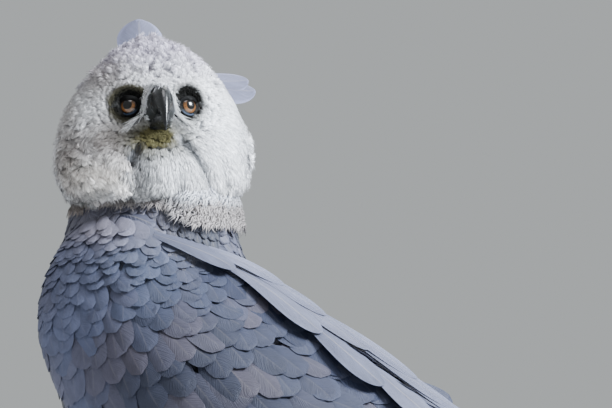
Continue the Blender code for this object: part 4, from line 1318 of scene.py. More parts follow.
def colour_samples(look):
    """Points all over the bird with the plumage colour of each."""
    samples = []
    grid = np.stack(np.meshgrid(np.linspace(0, LAST_LEVEL, 90), np.linspace(-3.1, 3.1, 160)), -1)
    grid = grid.reshape(-1, 2)
    samples.append((HEAD.point(grid), head_colour(look, HEAD.point(grid))))
    grid = np.stack(np.meshgrid(np.linspace(0, LAST_BODY, 60), np.linspace(0, 6.25, 40)), -1)
    grid = grid.reshape(-1, 2)
    samples.append((BODY.point(grid), body_colour(look, grid)))
    for side in (1, -1):
        grid = np.stack(np.meshgrid(np.linspace(0, 7, 40), np.linspace(0, 1, 20)), -1)
        grid = grid.reshape(-1, 2)
        samples.append((WINGS[side].point(grid), wing_colour(look, grid) * 0.6))
        grid = np.stack(np.meshgrid(np.linspace(0, 5, 20), np.linspace(-3.1, 3.1, 20)), -1)
        points = THIGHS[side].point(grid.reshape(-1, 2))
        samples.append((points, np.broadcast_to(np.array(look.belly_colour), points.shape)))
    points = np.concatenate([sample[0] for sample in samples])
    return points, np.concatenate([sample[1] for sample in samples])


def build_skin(look):
    """One skin for all the flesh that carries plumage."""
    mesh = melted("plumage_skin", skin_parts(), look.skin_detail, 4)
    points, colours = colour_samples(look)
    points = points - np.array((0, MIDDLE_Y, 0))
    tree = KDTree(len(points))
    for k, point in enumerate(points):
        tree.insert(point, k)
    tree.balance()
    nearest = [tree.find(vertex.co)[1] for vertex in mesh.vertices]
    per_point(mesh, "tint", colours[nearest])
    obj = show("plumage_skin", mesh, skin_material())
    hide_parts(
        "torso", "neck", "head", "thigh_left", "thigh_right", "wing_left", "wing_right",
        "tail",
    )


# --- Head plumage ------------------------------------------------------------------------


def head_flow(local):
    """The lie of the head's plumage: out from the bill, and drooping further back and down."""
    source = np.array((0.0, -0.050, -0.006))
    radial = unit(local - source)
    reach = np.linalg.norm(local - source, axis=-1)
    y, z = local[..., 1], local[..., 2]
    low = ease(0.050 - z, 0.0, 0.045)
    droop = ease(reach, 0.045, 0.095) * low * 0.60
    behind = ease(y, -0.010, 0.035) * ease(0.068 - z, 0.0, 0.03)
    droop = np.maximum(droop, behind * 0.9)
    down = np.array((0.0, 0.22, -0.97))
    way = radial * (1 - droop)[..., None] + down * droop[..., None]
    for cx, cz, size, way_x, way_z in FACE_TURNS:
        gap = np.hypot(local[..., 0] - cx, z - cz)
        share = (np.exp(-((gap / size) ** 2)) * (y < 0))[..., None]
        way = way * (1 - share) + np.array((way_x, 0.0, way_z)) * share
    return unit(way)


def flap_lift(x, y, z):
    """How far the flaps of plumage stand out: more and more towards their free edges."""
    lift = np.zeros(x.shape)
    for cx, cz, way_x, way_z, half_along, half_across, height in FACE_FLAPS:
        along = ((x - cx) * way_x + (z - cz) * way_z) / half_along
        across = np.abs((x - cx) * way_z - (z - cz) * way_x) / half_across
        inside = ease(along, -1.0, 0.9) * (1 - ease(across, 0.65, 1.0)) * (along < 1.0)
        lift = np.maximum(lift, height * inside)
    return lift * ease(-y, 0.0, 0.015)


def bare_place(local):
    """Where no plumes grow: the bill, the eyes and the corner of the mouth."""
    x, y, z = local.T
    front = y < 0
    half = 0.0146 - 0.0040 * ease(-z, 0.006, 0.020)
    on_bill = (np.abs(x) < half) & (z > -0.0240) & (z < 0.0165)
    in_eye = np.hypot(np.abs(x) - 0.0288, z + 0.0010) < 0.0102
    return (on_bill | in_eye) & front


def from_eye_and_bill(local):
    """How far a place on the face lies from the nearest eye or the bill."""
    x, z = local[..., 0], local[..., 2]
    from_eye = np.hypot(np.abs(x) - 0.0285, z)
    from_bill = np.hypot(x, (z + 0.004) * 0.8)
    return np.minimum(from_eye - 0.012, from_bill - 0.016)


def head_roots(spacing, draw):
    """Roots of the head's plumes, closer together round the eyes and the bill."""
    found = []
    for close, gap in ((False, spacing), (True, spacing * 0.55)):
        heights = np.arange(-0.100, 0.0765, gap)
        rows = np.interp(heights, [row[0] for row in HEAD_LEVELS], np.arange(LAST_LEVEL + 1))
        places = scatter(HEAD, rows, -math.pi, math.pi, gap, draw, 0.35)
        local = head_local(places[:, 0], places[:, 1])
        near = (from_eye_and_bill(local) < 0.0075) & (local[:, 1] < -0.015)
        keep = (near == close) & ~bare_place(local)
        found.append((places[keep], local[keep], np.full(keep.sum(), gap / spacing)))
    return tuple(np.concatenate(group) for group in zip(*found))


def head_measures(local, look):
    """Length of the plumes, how high their tips stand, how curly and how open the face is."""
    x, y, z = local.T
    open_face = ease(from_eye_and_bill(local), 0.0, 0.030)
    crown = ease(z, 0.020, 0.040)
    side = ease(-x, 0.064, 0.082) + ease(x, 0.082, 0.094)
    curly = np.maximum(crown, np.maximum(side, ease(y, -0.004, 0.016)) * 0.9)
    frill = ease(-z, 0.074, 0.090)
    curly = np.maximum(curly, frill * 0.75)
    length = look.plume_length * (0.30 + 0.88 * open_face)
    length = length * (1 - 0.28 * curly)
    throat = ease(-z, 0.040, 0.070) * ease(-y, 0.0, 0.03) * (1 - curly)
    length = length * (1 + 0.40 * throat) * (1 - 0.35 * frill)
    nape = ease(y, 0.0, 0.040)
    length = length * (1 + 0.5 * nape * (1 - 0.5 * crown))
    stand = (0.10 + 0.12 * open_face + 0.26 * curly) * (1 - 0.35 * nape)
    return length, stand, curly, open_face


def build_head_plumage(look):
    """Small soft feathers over the whole head, each fringed with fine blades."""
    draw = np.random.default_rng(11)
    places, local, scale = head_roots(look.plume_spacing, draw)
    length, stand, curly, open_face = head_measures(local, look)
    du, dv, out = HEAD.frame(places)
    flow = head_flow(local) @ HEAD_PLACE[:3, :3].T
    flow = unit(flow - dot(flow, out) * out)
    points = HEAD.point(places)
    count = len(places)
    swirl = waves(points, 0.0065, 3) * (0.04 + 0.85 * curly)
    flow = turned(flow, out, swirl + draw.normal(0, 0.035 + 0.26 * curly, count))
    lump = waves(points, 0.0054, 5) * (0.0001 + 0.0024 * curly)
    clump = waves(points, 0.014, 9) * 0.0006 * open_face
    sunk = -coat_depth_at(local) - 0.0006
    raised = 0.0012 + 0.0024 * open_face + lump + clump + flap_lift(*local.T)
    tip = length * stand * (1 + draw.uniform(-0.30, 0.30, count) * (0.25 + 0.75 * curly))
    plumes = {
        "scale": scale, "places": places, "du": du, "dv": dv, "out": out, "flow": flow, "length": length,
        "curly": curly, "sunk": sunk, "top": sunk + raised + tip, "middle": sunk + raised + tip * 0.6,
        "tone": draw.random(count), "colour": head_colour(look, points),
        "chart": HEAD.on_chart(places), "bend": draw.normal(0, 0.05 + 0.16 * curly, count),
    }
    zones = np.where(local[:, 1] > 0.012, 0, np.where(local[:, 0] > 0.002, 1, 2))
    for zone, name in enumerate(("nape", "face_left", "face_right")):
        chosen = {key: values[zones == zone] for key, values in plumes.items()}
        vanes = Coat(f"plumes_{name}")
        add_plume_vanes(vanes, chosen, look, draw)
        vanes.finish(down_material("head_vanes", 0.22, 0.24))
        blades = Coat(f"plume_blades_{name}")
        add_plume_blades(blades, chosen, look, draw, 5 if zone == 0 else 9)
        blades.finish(down_material("head_blades", 0.16, 0.30))


def add_plume_vanes(coat, plumes, look, draw):
    """The rounded vane of each plume."""
    count = len(plumes["length"])
    wide = look.plume_spacing * plumes["scale"] * (1.65 + 0.45 * plumes["curly"])
    wide = wide * draw.uniform(0.85, 1.15, count)
    form = ((0.0, 0.45), (0.30, 0.92), (0.62, 1.0), (0.88, 0.66), (1.0, 0.20))
    lift = (plumes["sunk"], plumes["middle"] - 0.0005, plumes["top"] - 0.0007)
    reach = plumes["length"] * 0.92
    vanes = lay(
        HEAD, plumes["places"], plumes["flow"], reach, wide, form, lift,
        across=3, thick=0.0004, arch=0.20, curl=plumes["bend"],
        tilt=draw.normal(0, 0.06 + 0.10 * plumes["curly"].mean(), count),
    )
    tints = np.repeat(plumes["colour"][:, None], len(form), axis=1)
    coat.add(vanes, tints, plumes["tone"], plumes["chart"])


def add_plume_blades(coat, plumes, look, draw, number):
    """Fine blades that fray the surface and the end of each plume."""
    count = len(plumes["length"])
    form = ((0.0, 1.0), (0.55, 0.85), (1.0, 0.15))
    for x in np.linspace(-0.9, 0.9, number):
        fan = x * (0.22 + 0.30 * plumes["curly"]) + draw.normal(0, 0.08, count)
        heading = turned(plumes["flow"], plumes["out"], fan)
        reach = plumes["length"] * (1.06 - 0.22 * abs(x)) * draw.uniform(0.82, 1.12, count)
        aside = np.cross(plumes["out"], plumes["flow"])
        aside = aside * (x * 0.62 * look.plume_spacing * plumes["scale"])[:, None]
        start = plumes["places"] + steps_for(plumes["du"], plumes["dv"], aside)
        up = draw.uniform(-0.0002, 0.0006, count) * (1 + 2 * plumes["curly"])
        lift = (plumes["sunk"], plumes["middle"] + up * 0.5, plumes["top"] + up)
        wide = look.plume_spacing * plumes["scale"] * (0.16 if number > 5 else 0.26)
        blades = lay(
            HEAD, start, heading, reach, wide, form, lift,
            across=2, thick=0.0003, arch=0.0, curl=plumes["bend"] * 1.6,
        )
        tones = np.clip(plumes["tone"] + draw.normal(0, 0.22, count), 0, 1)
        tints = np.repeat(plumes["colour"][:, None], len(form), axis=1)
        coat.add(blades, tints, tones, plumes["chart"])


# --- Plumage of the body and tail --------------------------------------------------------


def fine(form, count):
    """An outline with more steps, closer together towards the tip."""
    shares, widths = even(form)
    steps = np.linspace(0, 1, count) ** 0.85
    smooth = along_rows(widths[:, None], np.interp(steps, shares, np.arange(len(form))))
    return tuple(zip(steps, np.maximum(smooth[:, 0], 0.06)))


def round_end(root, widest, count):
    """An outline that widens from its root and ends in half an ellipse."""
    shares = 1 - (1 - np.linspace(0, 1, count)) ** 1.6
    grow = root + (1 - root) * ease(shares, 0.0, widest)
    end = np.sqrt(np.maximum(1 - (np.maximum(shares - widest, 0) / (1 - widest)) ** 2, 0.004))
    return tuple(zip(shares, grow * end))


def under_wing(points):
    """Which points lie beneath a folded wing, away from its edges."""
    hidden = np.zeros(len(points), bool)
    grid = np.stack(np.meshgrid(np.linspace(-0.2, 7, 60), np.linspace(0, 1, 24)), -1)
    grid = grid.reshape(-1, 2)
    inner = (grid[:, 0] > 0.1) & (grid[:, 0] < 6.6) & (grid[:, 1] > 0.12) & (grid[:, 1] < 0.84)
    for side in (1, -1):
        outer = WINGS[side].point(grid)
        away = WINGS[side].frame(grid)[2]
        tree = KDTree(len(outer))
        for k, point in enumerate(outer):
            tree.insert(point, k)
        tree.balance()
        near = np.array([tree.find(point)[1] for point in points])
        depth = ((points - outer[near]) * away[near]).sum(1)
        hidden |= inner[near] & (depth < -0.006)
    return hidden


def build_body_plumage(look):
    """Contour feathers of the neck, back, breast, belly and rump."""
    draw = np.random.default_rng(21)
    zones = (
        ("neck_feathers", 0.9, 3.8, 0.0085, 0.036, 0.0145, "collar"),
        ("back_breast_feathers", 3.6, 7.6, 0.0150, 0.046, 0.030, "mantle"),
        ("belly_rump_feathers", 7.6, LAST_BODY + 0.2, 0.0150, 0.048, 0.028, "soft"),
    )
    for name, start, end, spacing, length, width, kind in zones:
        rows = ladder(BODY, start, end, math.pi * 0.75, spacing * 0.75)
        places = scatter(BODY, rows, 0, 2 * math.pi, spacing, draw)
        points = BODY.point(places)
        places = places[~under_wing(points)]
        du = BODY.frame(places)[0]
        count = len(places)
        out = BODY.frame(places)[2]
        flow = turned(unit(du - dot(du, out) * out), out, draw.normal(0, 0.10, count))
        lengths = length * draw.uniform(0.85, 1.15, count)
        widths = width * draw.uniform(0.85, 1.15, count)
        form = SOFT_FORM if kind == "soft" else ROUND_FORM
        high = 0.0012 if kind == "collar" else 0.0030
        lift = (-0.0060, -0.0022, draw.uniform(0.0002, high, count))
        vanes = lay(
            BODY, places, flow, lengths, widths, form, lift,
            across=5, arch=0.10, tilt=draw.normal(0, 0.05, count), curl=draw.normal(0, 0.04),
        )
        coat = Coat(name)
        colour = body_colour(look, places)
        tints = np.repeat(colour[:, None], len(form), axis=1)
        coat.add(vanes, tints, draw.random(count), BODY.on_chart(places))
        coat.finish(feather_material("body_vanes", 26.0, 0.55, 0.15, 0.35))


def build_collar(look):
    """Soft plumes that hang from the head over the neck, pale behind and dusky in front."""
    draw = np.random.default_rng(25)
    rows = ladder(BODY, 0.15, 2.85, math.pi / 2, 0.0054)
    places = scatter(BODY, rows, 0, 2 * math.pi, 0.0060, draw, 0.35)
    station, angle = places.T
    behind = ease(np.cos(angle), 0.30, 0.68)
    keep = station < 1.82 + 0.80 * behind + 0.30 * ease(-np.cos(angle), 0.35, 0.8)
    places, behind = places[keep], behind[keep]
    du, dv, out = BODY.frame(places)
    count = len(places)
    points = BODY.point(places)
    flow = turned(unit(du), out, draw.normal(0, 0.10, count) + waves(points, 0.010, 27) * 0.25)
    low = ease(places[:, 0], 0.8, 2.4)
    bulge = 0.0030 + 0.0070 * behind * ease(places[:, 0], 0.3, 1.4)
    bulge = bulge + waves(points, 0.009, 28) * 0.0012
    colour = np.repeat(np.array([look.face_colour]) * (0.93, 0.97, 1.04), count, axis=0)
    dusky = 1 - behind
    colour = mixed(colour, look.dusky_and_shade_colour, dusky * (0.55 + 0.45 * low))
    speckle = np.exp(-(((places[:, 0] - 1.25) / 0.5) ** 2)) * dusky
    colour = mixed(colour, look.collar_and_shade_colour, speckle * draw.uniform(0.0, 1.0, count))
    colour = mixed(colour, look.dusky_and_shade_colour, behind * ease(places[:, 0], 1.55, 1.95) * 0.8)
    top = behind * (1 - ease(places[:, 0], 0.55, 1.05))
    colour = mixed(colour, look.frill_and_shade_colour, top * draw.uniform(0.4, 1.0, count))
    coat = Coat("collar_plumes")
    form = ((0.0, 1.0), (0.45, 0.85), (1.0, 0.12))
    for x in np.linspace(-0.95, 0.95, 13):
        heading = turned(flow, out, x * 0.45 + draw.normal(0, 0.20, count))
        aside = np.cross(out, flow) * (x * 0.0034)
        start = places + steps_for(du, dv, aside)
        reach = 0.018 * (1 - 0.3 * abs(x)) * (1 - 0.15 * low) * draw.uniform(0.75, 1.15, count)
        high = bulge + draw.uniform(-0.0006, 0.0010, count)
        vanes = lay(
            BODY, start, heading, reach, np.full(count, 0.0013), form, (-0.005, high, high * 0.7),
            across=2, thick=0.0003, arch=0.0, curl=draw.normal(0, 0.30, count),
        )
        tints = np.repeat(colour[:, None], len(form), axis=1)
        coat.add(vanes, tints, draw.random(count), BODY.on_chart(places))
    coat.finish(down_material("head_blades", 0.16, 0.30))


def build_thigh_plumage(look):
    """Soft white feathers of the thighs, finely barred."""
    draw = np.random.default_rng(31)
    for side, name in ((1, "thigh_feathers_left"), (-1, "thigh_feathers_right")):
        surface = THIGHS[side]
        rows = ladder(surface, -0.1, 4.75, 0.0, 0.0075)
        places = scatter(surface, rows, -math.pi, math.pi, 0.0090, draw)
        du, dv, out = surface.frame(places)
        count = len(places)
        flow = turned(unit(du - dot(du, out) * out), out, draw.normal(0, 0.12, count))
        share = places[:, 0] / 5
        lengths = (0.034 - 0.012 * share) * draw.uniform(0.85, 1.15, count)
        widths = (0.018 - 0.006 * share) * draw.uniform(0.85, 1.15, count)
        lift = (-0.0050, -0.0015, draw.uniform(0.0004, 0.0030, count) * (1.3 - share))
        vanes = lay(
            surface, places, flow, lengths, widths, SOFT_FORM, lift,
            across=3, arch=0.08, tilt=draw.normal(0, 0.06, count),
        )
        coat = Coat(name)
        tints = np.broadcast_to(np.array(look.belly_colour), (count, len(SOFT_FORM), 3))
        coat.add(vanes, tints, draw.random(count), surface.on_chart(places))
        coat.finish(
            feather_material("thigh_vanes", 22.0, 0.30, 0.05, 0.1, 17.0, 0.45)
        )


def build_tail(look):
    """Twelve long barred tail feathers, with coverts over and under their roots."""
    draw = np.random.default_rng(41)
    form = fine(LONG_FORM, 22)
    coat = Coat("tail_feathers")
    for i in range(6):
        for side in (1, -1):
            depth = 0.0015 + (0.0034 * i if i < 2 else 0.0034 + 0.0018 * i)
            if i < 2 and side < 0:
                depth += 0.0017
            root = np.array(((0.003 + 0.0055 * i) * side, 0.012))
            tip = np.array(((0.007 + 0.0105 * i) * side, TAIL_LENGTH - 0.00175 * i * i))
            add_between(coat, TAIL, root, tip, 0.047, (-depth - 0.001, -depth, -depth), form,
                        look.tail_colour, draw, across=9, arch=0.0)
    coat.finish(
        feather_material("tail_vanes", 90.0, 0.45, 0.8, 0.25, 44.0, 0.85)
    )
    coverts = Coat("tail_coverts")
    small = fine(ROUND_FORM, 14)
    for x in np.linspace(-0.040, 0.040, 9):
        for start, end, lift in ((-0.012, 0.095, 0.0045), (-0.03, 0.060, 0.0070)):
            root = np.array((x * 0.8, start))
            tip = np.array((x, end + 0.030 - abs(x) * 0.6))
            add_between(coverts, TAIL, root, tip, 0.030, (lift * 0.3, lift, lift * 0.35), small,
                        look.mantle_colour, draw, across=7, arch=0.04)
    for x in np.linspace(-0.034, 0.034, 6):
        root, tip = np.array((x * 0.8, -0.01)), np.array((x, 0.145 - abs(x) * 0.5))
        add_between(coverts, TAIL, root, tip, 0.034, (-0.021, -0.0235, -0.0185), small,
                    look.belly_colour, draw, across=7, arch=-0.04)
    coverts.finish(feather_material("covert_vanes", 50.0, 0.5, 0.3, 0.5))


def add_between(coat, surface, root, tip, width, lift, form, tint, draw, **shape):
    """Adds one feather that runs over a surface from one place to another."""
    root, tip = np.asarray(root, float)[None], np.asarray(tip, float)[None]
    steps = np.linspace(0, 1, 12)[:, None]
    track = surface.point(root + (tip - root) * steps)
    length = np.linalg.norm(np.diff(track, axis=0), axis=1).sum()
    if shape.pop("straight", True):
        vane = lay_along(surface, root, tip, width, lift, form, **shape)
    else:
        du, dv, out = surface.frame(root)
        flow = unit(track[1:2] - track[0:1])
        vane = lay(surface, root, flow, np.array([length]), np.array([width]), form, lift, **shape)
    tints = np.broadcast_to(np.array(tint), (1, len(form), 3))
    coat.add(vane, tints, draw.random(1), surface.on_chart(root))


def lay_along(surface, root, tip, width, lift, form, **shape):
    """A feather whose shaft takes the straight way between two places of a surface's chart."""
    across = np.linspace(-1, 1, shape.get("across", 9))
    thick, arch = shape.get("thick", 0.0009), shape.get("arch", 0.0)
    tilt = shape.get("tilt", 0.0)
    shares, wides = even(form)
    rings = []
    for share, wide in zip(shares, wides):
        at = root + (tip - root) * share
        du, dv, out = surface.frame(at)
        ahead = surface.point(at + (tip - root) * 0.01) - surface.point(at - (tip - root) * 0.01)
        side = unit(np.cross(out, ahead))
        half = width * wide / 2
        height = curve_height(lift, share)
        ring = []
        for x in across:
            place = at + steps_for(du, dv, side * half * x)
            rise = height + tilt * half * x - arch * half * x * x
            ring.append(surface.point(place) + out * rise)
        ring.append(surface.point(at) + out * (height - thick - arch * half * 0.4))
        rings.append(np.stack(ring, 1))
    return np.stack(rings, 1)


# --- Plumage of the wings ----------------------------------------------------------------


def wing_flow(places, side):
    """The lie of the wing's small coverts: down over the shoulder, then back along the wing."""
    p, q = places[..., 0], places[..., 1]
    share = ease(p + 0.8 * (0.4 - q), 0.2, 4.2)[..., None]
    way = np.array((0.10 * side, 0.36, -0.93)) * (1 - share) + np.array((0, 0.90, -0.44)) * share
    return unit(way)


def mantle_shape(side):
    """From the upper edge of a folded wing, at 0, down to the middle of the back, at 1."""
    ridge = WINGS[side].shape
    line = np.array(BODY_STATIONS)

    def shape(p, r):
        top = ridge(p, np.full(np.shape(p), 0.03)) - np.array((0, 0, 0.0050))
        r = np.asarray(r)[..., None]
        height = np.interp(top[..., 1], line[:, 0], line[:, 1])
        past = np.maximum(top[..., 1] - line[-1, 0], 0)
        low = np.stack((np.full(height.shape, -0.004 * side), top[..., 1], height - past * 0.5), -1)
        bulge = np.array((0, 0, 0.0060)) * np.sin(np.pi * np.clip(r, 0, 1))
        return top * (1 - r) + low * r + bulge

    return shape


def build_mantle(look):
    """Long soft feathers from the wings' upper edges in over the back."""
    draw = np.random.default_rng(57)
    for side, name in ((1, "left"), (-1, "right")):
        surface = Surface(mantle_shape(side), ((0, 6.2), (0, 1)), (0, 0, 1.0))
        rows = ladder(surface, 0.55, 5.6, 0.5, 0.0170)
        places = scatter(surface, rows, 0.04, 1.0, 0.0140, draw, 0.3)
        count = len(places)
        du, dv, out = surface.frame(places)
        flow = turned(unit(du - dot(du, out) * out), out, draw.normal(0, 0.08, count))
        lengths = 0.052 * draw.uniform(0.88, 1.14, count)
        widths = 0.027 * draw.uniform(0.88, 1.12, count)
        form = fine(ROUND_FORM, 12)
        tip = draw.uniform(0.0004, 0.0026, count)
        vanes = lay(
            surface, places, flow, lengths, widths, form, (-0.0060, -0.0020, tip),
            across=5, thick=0.0006, arch=0.10, tilt=draw.normal(0, 0.04, count),
        )
        colour = np.repeat(np.array([look.mantle_colour]), count, axis=0)
        colour = mixed(colour, look.wing_colour, draw.uniform(0.1, 0.6, count))
        coat = Coat(f"mantle_feathers_{name}")
        tints = np.repeat(colour[:, None], len(form), axis=1)
        coat.add(vanes, tints, draw.random(count), surface.on_chart(places))
        coat.finish(feather_material("body_vanes", 26.0, 0.55, 0.15, 0.35))


def covert_places(draw):
    """Roots of the small coverts in slanting rows, wider apart towards the flight feathers."""
    places, rows = [], []
    behind, k = -4.2, 0
    while behind < 1.30:
        grown = ease(behind, -3.0, 0.4) + 0.35 * ease(behind, 0.4, 1.3)
        pitch = 0.0112 + 0.0110 * grown
        q = np.linspace(-0.03, 1.02, 300)
        p = behind + 0.5 + (0.8 - q) * COVERT_SLANT
        inside = (p > -0.92) & (p < 4.6) & (q > 0.066 * ease(p, 0.9, 1.9) - 0.03)
        if inside.sum() > 3:
            track = np.stack((p[inside], q[inside]), -1)
            points = WINGS[1].point(track)
            run = np.append(0, np.cumsum(np.linalg.norm(np.diff(points, axis=0), axis=1)))
            steps = np.arange(pitch * (0.25 + 0.5 * (k % 2)), run[-1], pitch)
            steps = steps + draw.uniform(-0.24, 0.24, len(steps)) * pitch
            row = [np.interp(steps, run, track[:, axis]) for axis in (0, 1)]
            places.append(np.stack(row, -1) + draw.normal(0, (0.02, 0.004), (len(steps), 2)))
            rows.append(np.full(len(steps), grown))
        behind += 0.165 + 0.170 * grown
        k += 1
    return np.concatenate(places), np.concatenate(rows)


def build_wing(look, side):
    """All the feathers of one folded wing."""
    name = "left" if side > 0 else "right"
    draw = np.random.default_rng(51 + side)
    surface = WINGS[side]
    build_small_coverts(look, surface, side, f"small_coverts_{name}", draw)
    rows = (
        ("greater_coverts", 13, (0.90, 1.0), (3.20, 0.26), (1.88, 1.07), (4.30, 0.52),
         (0.036, 0.044), -0.0030, 0.30),
        ("secondaries", 11, (1.65, 1.0), (3.60, 0.34), (3.28, 1.09), (5.25, 0.72),
         (0.042, 0.050), -0.0072, 0.15),
        ("primaries", 8, (2.60, 0.72), (3.40, 0.55), (5.20, 0.98), (6.95, 0.52),
         (0.034, 0.040), -0.0125, 0.0),
        ("tertials", 5, (2.9, 0.16), (3.5, 0.34), (4.75, 0.12), (5.45, 0.48),
         (0.042, 0.048), -0.0032, 0.6),
    )
    coat = Coat(f"flight_feathers_{name}")
    for row in rows:
        add_row(coat, look, surface, row, draw)
    coat.finish(feather_material("wing_vanes", 150.0, 0.18, 0.12, 0.14), True)
    build_scapulars(look, surface, f"scapulars_{name}", draw)


def add_row(coat, look, surface, row, draw):
    """Adds one row of large wing feathers, each tucked under the next."""
    name, count, first, last, first_tip, last_tip, widths, height, pale = row
    form = fine(LONG_FORM if name in ("primaries", "secondaries") else ROUND_FORM, 18)
    for k in range(count):
        share = k / (count - 1)
        root = np.array(first) * (1 - share) + np.array(last) * share
        tip = np.array(first_tip) * (1 - share) + np.array(last_tip) * share
        root = root + draw.normal(0, 0.012, 2)
        tip = tip + draw.normal(0, (0.035, 0.010), 2)
        width = widths[0] + (widths[1] - widths[0]) * share
        order = height + 0.0009 * math.sin(k * 1.7)
        lift = (order - 0.0030, order - 0.0004, order + 0.0014 + draw.uniform(0, 0.0012))
        tint = wing_colour(look, tip[None])[0] * draw.uniform(0.82, 1.18)
        tint = mixed(tint[None], look.worn_colour, draw.uniform(0, pale, 1))[0]
        add_between(coat, surface, root, tip, width, lift, form, tint, draw,
                    across=9, arch=0.10, tilt=-0.075)


def build_small_coverts(look, surface, side, name, draw):
    """Small rounded coverts from the bend of the wing back to the larger rows."""
    places, grown = covert_places(draw)
    du, dv, out = surface.frame(places)
    points = surface.point(places)
    count = len(places)
    flow = wing_flow(places, side)
    flow = turned(unit(flow - dot(flow, out) * out), out, draw.normal(0, 0.11, count))
    p, q = places.T
    scaly = np.exp(-(((p - 0.95) / 0.62) ** 2) - ((q - 0.10) / 0.17) ** 2)
    lengths = (0.0240 + 0.0300 * grown) * draw.uniform(0.86, 1.14, count)
    widths = (0.0160 + 0.0150 * grown) * draw.uniform(0.88, 1.12, count)
    tip = draw.uniform(0.0002, 0.0012, count) + 0.0032 * scaly * draw.uniform(0.5, 1.0, count)
    form = fine(ROUND_FORM, 10)
    vanes = lay(
        surface, places, flow, lengths, widths, form, (-0.0048, -0.0014, tip),
        across=5, thick=0.0005, arch=0.10, tilt=draw.normal(0, 0.05, count), curl=draw.normal(0, 0.03, count),
    )
    colour = covert_colour(look, points, places, scaly) * draw.uniform(0.88, 1.12, count)[:, None]
    tints = np.repeat(colour[:, None], len(form), axis=1)
    coat = Coat(name)
    coat.add(vanes, tints, draw.random(count), surface.on_chart(places))
    add_shaded_row(coat, look, surface, draw)
    coat.finish(feather_material("covert_scales", 60.0, 0.15, 0.04, 0.06), True)


def add_shaded_row(coat, look, surface, draw):
    """Adds the feathers that close the gap under the shoulder feathers, darkened as painted shade."""
    form = round_end(0.34, 0.72, 14)
    for k in range(11):
        share = k / 10
        root = np.array((1.15 + 2.75 * share, 0.045 + 0.04 * share)) + draw.normal(0, 0.01, 2)
        tip = root + np.array((0.50 + 0.50 * share, 0.085))
        # Painted shade of the shoulder feathers over them: the wing's colour darkened and made bluer
        tint = wing_colour(look, tip[None])[0] * (0.50, 0.58, 0.74) * draw.uniform(0.85, 1.15)
        add_between(coat, surface, root, tip, 0.036, (-0.0040, -0.0014, -0.0002), form, tint, draw,
                    across=7, arch=0.10, tilt=-0.04)


def covert_colour(look, points, places, scaly):
    """Slate with browner patches, darker scales at the shoulder and a pale patch before it."""
    colour = wing_colour(look, places)
    brown = ease(waves(points, 0.030, 77) + 0.5 * ease(places[:, 1], 0.1, 0.7), 0.1, 0.9)
    colour = mixed(colour, look.wing_brown_colour, brown * 0.55 * (1 - scaly))
    colour = mixed(colour, look.scale_colour, scaly * 0.85)
    front = 1 - ease(places[:, 0], -0.2, 1.4)
    colour = mixed(colour, look.worn_colour, front * 0.42)
    patch = np.exp(-(((places[:, 0] - 0.25) / 0.65) ** 2) - ((places[:, 1] + 0.01) / 0.085) ** 2)
    return mixed(colour, look.mantle_patch_colour, patch * 0.9)


def build_scapulars(look, surface, name, draw):
    """Shoulder feathers end to end over dark gaps, under long feathers along the ridge."""
    form = round_end(0.34, 0.72, 22)
    near = name.endswith("left")
    coat = Coat(name)
    for root, tip, width in SHOULDER_FEATHERS:
        lift = (-0.0010, 0.0066, 0.0086) if near else (-0.0025, 0.0008, 0.0020)
        tint = mixed(np.array([look.worn_colour]), look.wing_colour, draw.uniform(0.1, 0.5, 1))[0]
        add_between(coat, surface, root, tip, width, lift, form, tint, draw,
                    across=13, arch=0.12, tilt=-0.20 if near else 0.0)
    for k in range(9):
        root = np.array((1.45 + 0.38 * k, 0.020 + 0.008 * (k % 3))) + draw.normal(0, 0.003, 2)
        tip = root + np.array((1.00 + 0.05 * k, -0.008))
        lift = (0.0, 0.0042, 0.0048) if near else (-0.0030, 0.0, 0.0010)
        tint = np.array(look.worn_colour) * draw.uniform(0.9, 1.15)
        add_between(coat, surface, root, tip, 0.017, lift, form, tint, draw,
                    across=9, arch=0.14, tilt=-0.10)
    coat.finish(feather_material("scapular_vanes", 150.0, 0.34, 0.16, 0.16), True)


# --- Crest -------------------------------------------------------------------------------

# Root and tip in the head's frame, the way the vane faces, width and bend
CREST = (
    ((-0.002, 0.042, 0.056), (0.000, 0.080, 0.1225), (-0.1, -0.9, 0.5), 0.048, -0.003),
    ((-0.014, 0.044, 0.052), (-0.050, 0.094, 0.066), (-0.5, -0.5, 0.9), 0.036, -0.004),
    ((0.030, 0.042, 0.050), (0.1175, 0.060, 0.0410), (0.2, -0.8, 0.5), 0.034, -0.004),
    ((0.030, 0.046, 0.054), (0.1110, 0.064, 0.0535), (0.2, -0.8, 0.55), 0.032, -0.004),
    ((0.014, 0.048, 0.050), (0.034, 0.102, 0.086), (0.1, -0.4, 1.0), 0.036, -0.005),
)


def build_crest(look):
    """Broad feathers that stand up and out from the crown."""
    draw = np.random.default_rng(61)
    form = round_end(0.30, 0.70, 26)
    coat = Coat("crest_feathers")
    turn = HEAD_PLACE[:3, :3]
    for root, tip, face, width, bend in CREST:
        roots = from_head(np.array([root]))
        tips = from_head(np.array([tip]))
        faces = np.array([face]) @ turn.T
        vanes = free_feathers(
            roots, tips, faces, np.array([width]), np.array([bend]), form, across=13, arch=0.24
        )
        tints = np.broadcast_to(np.array(look.crest_colour), (1, len(form), 3))
        place = face_place(np.array([root[0]]), np.array([root[2]]))
        place[:, 1] = math.pi - place[:, 1]
        coat.add(vanes, tints, draw.random(1), HEAD.on_chart(place))
    obj = coat.finish(feather_material("crest_vanes", 120.0, 0.35, 0.12, 0.6), True)
    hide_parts("crest_left", "crest_right")


# --- Bill --------------------------------------------------------------------------------


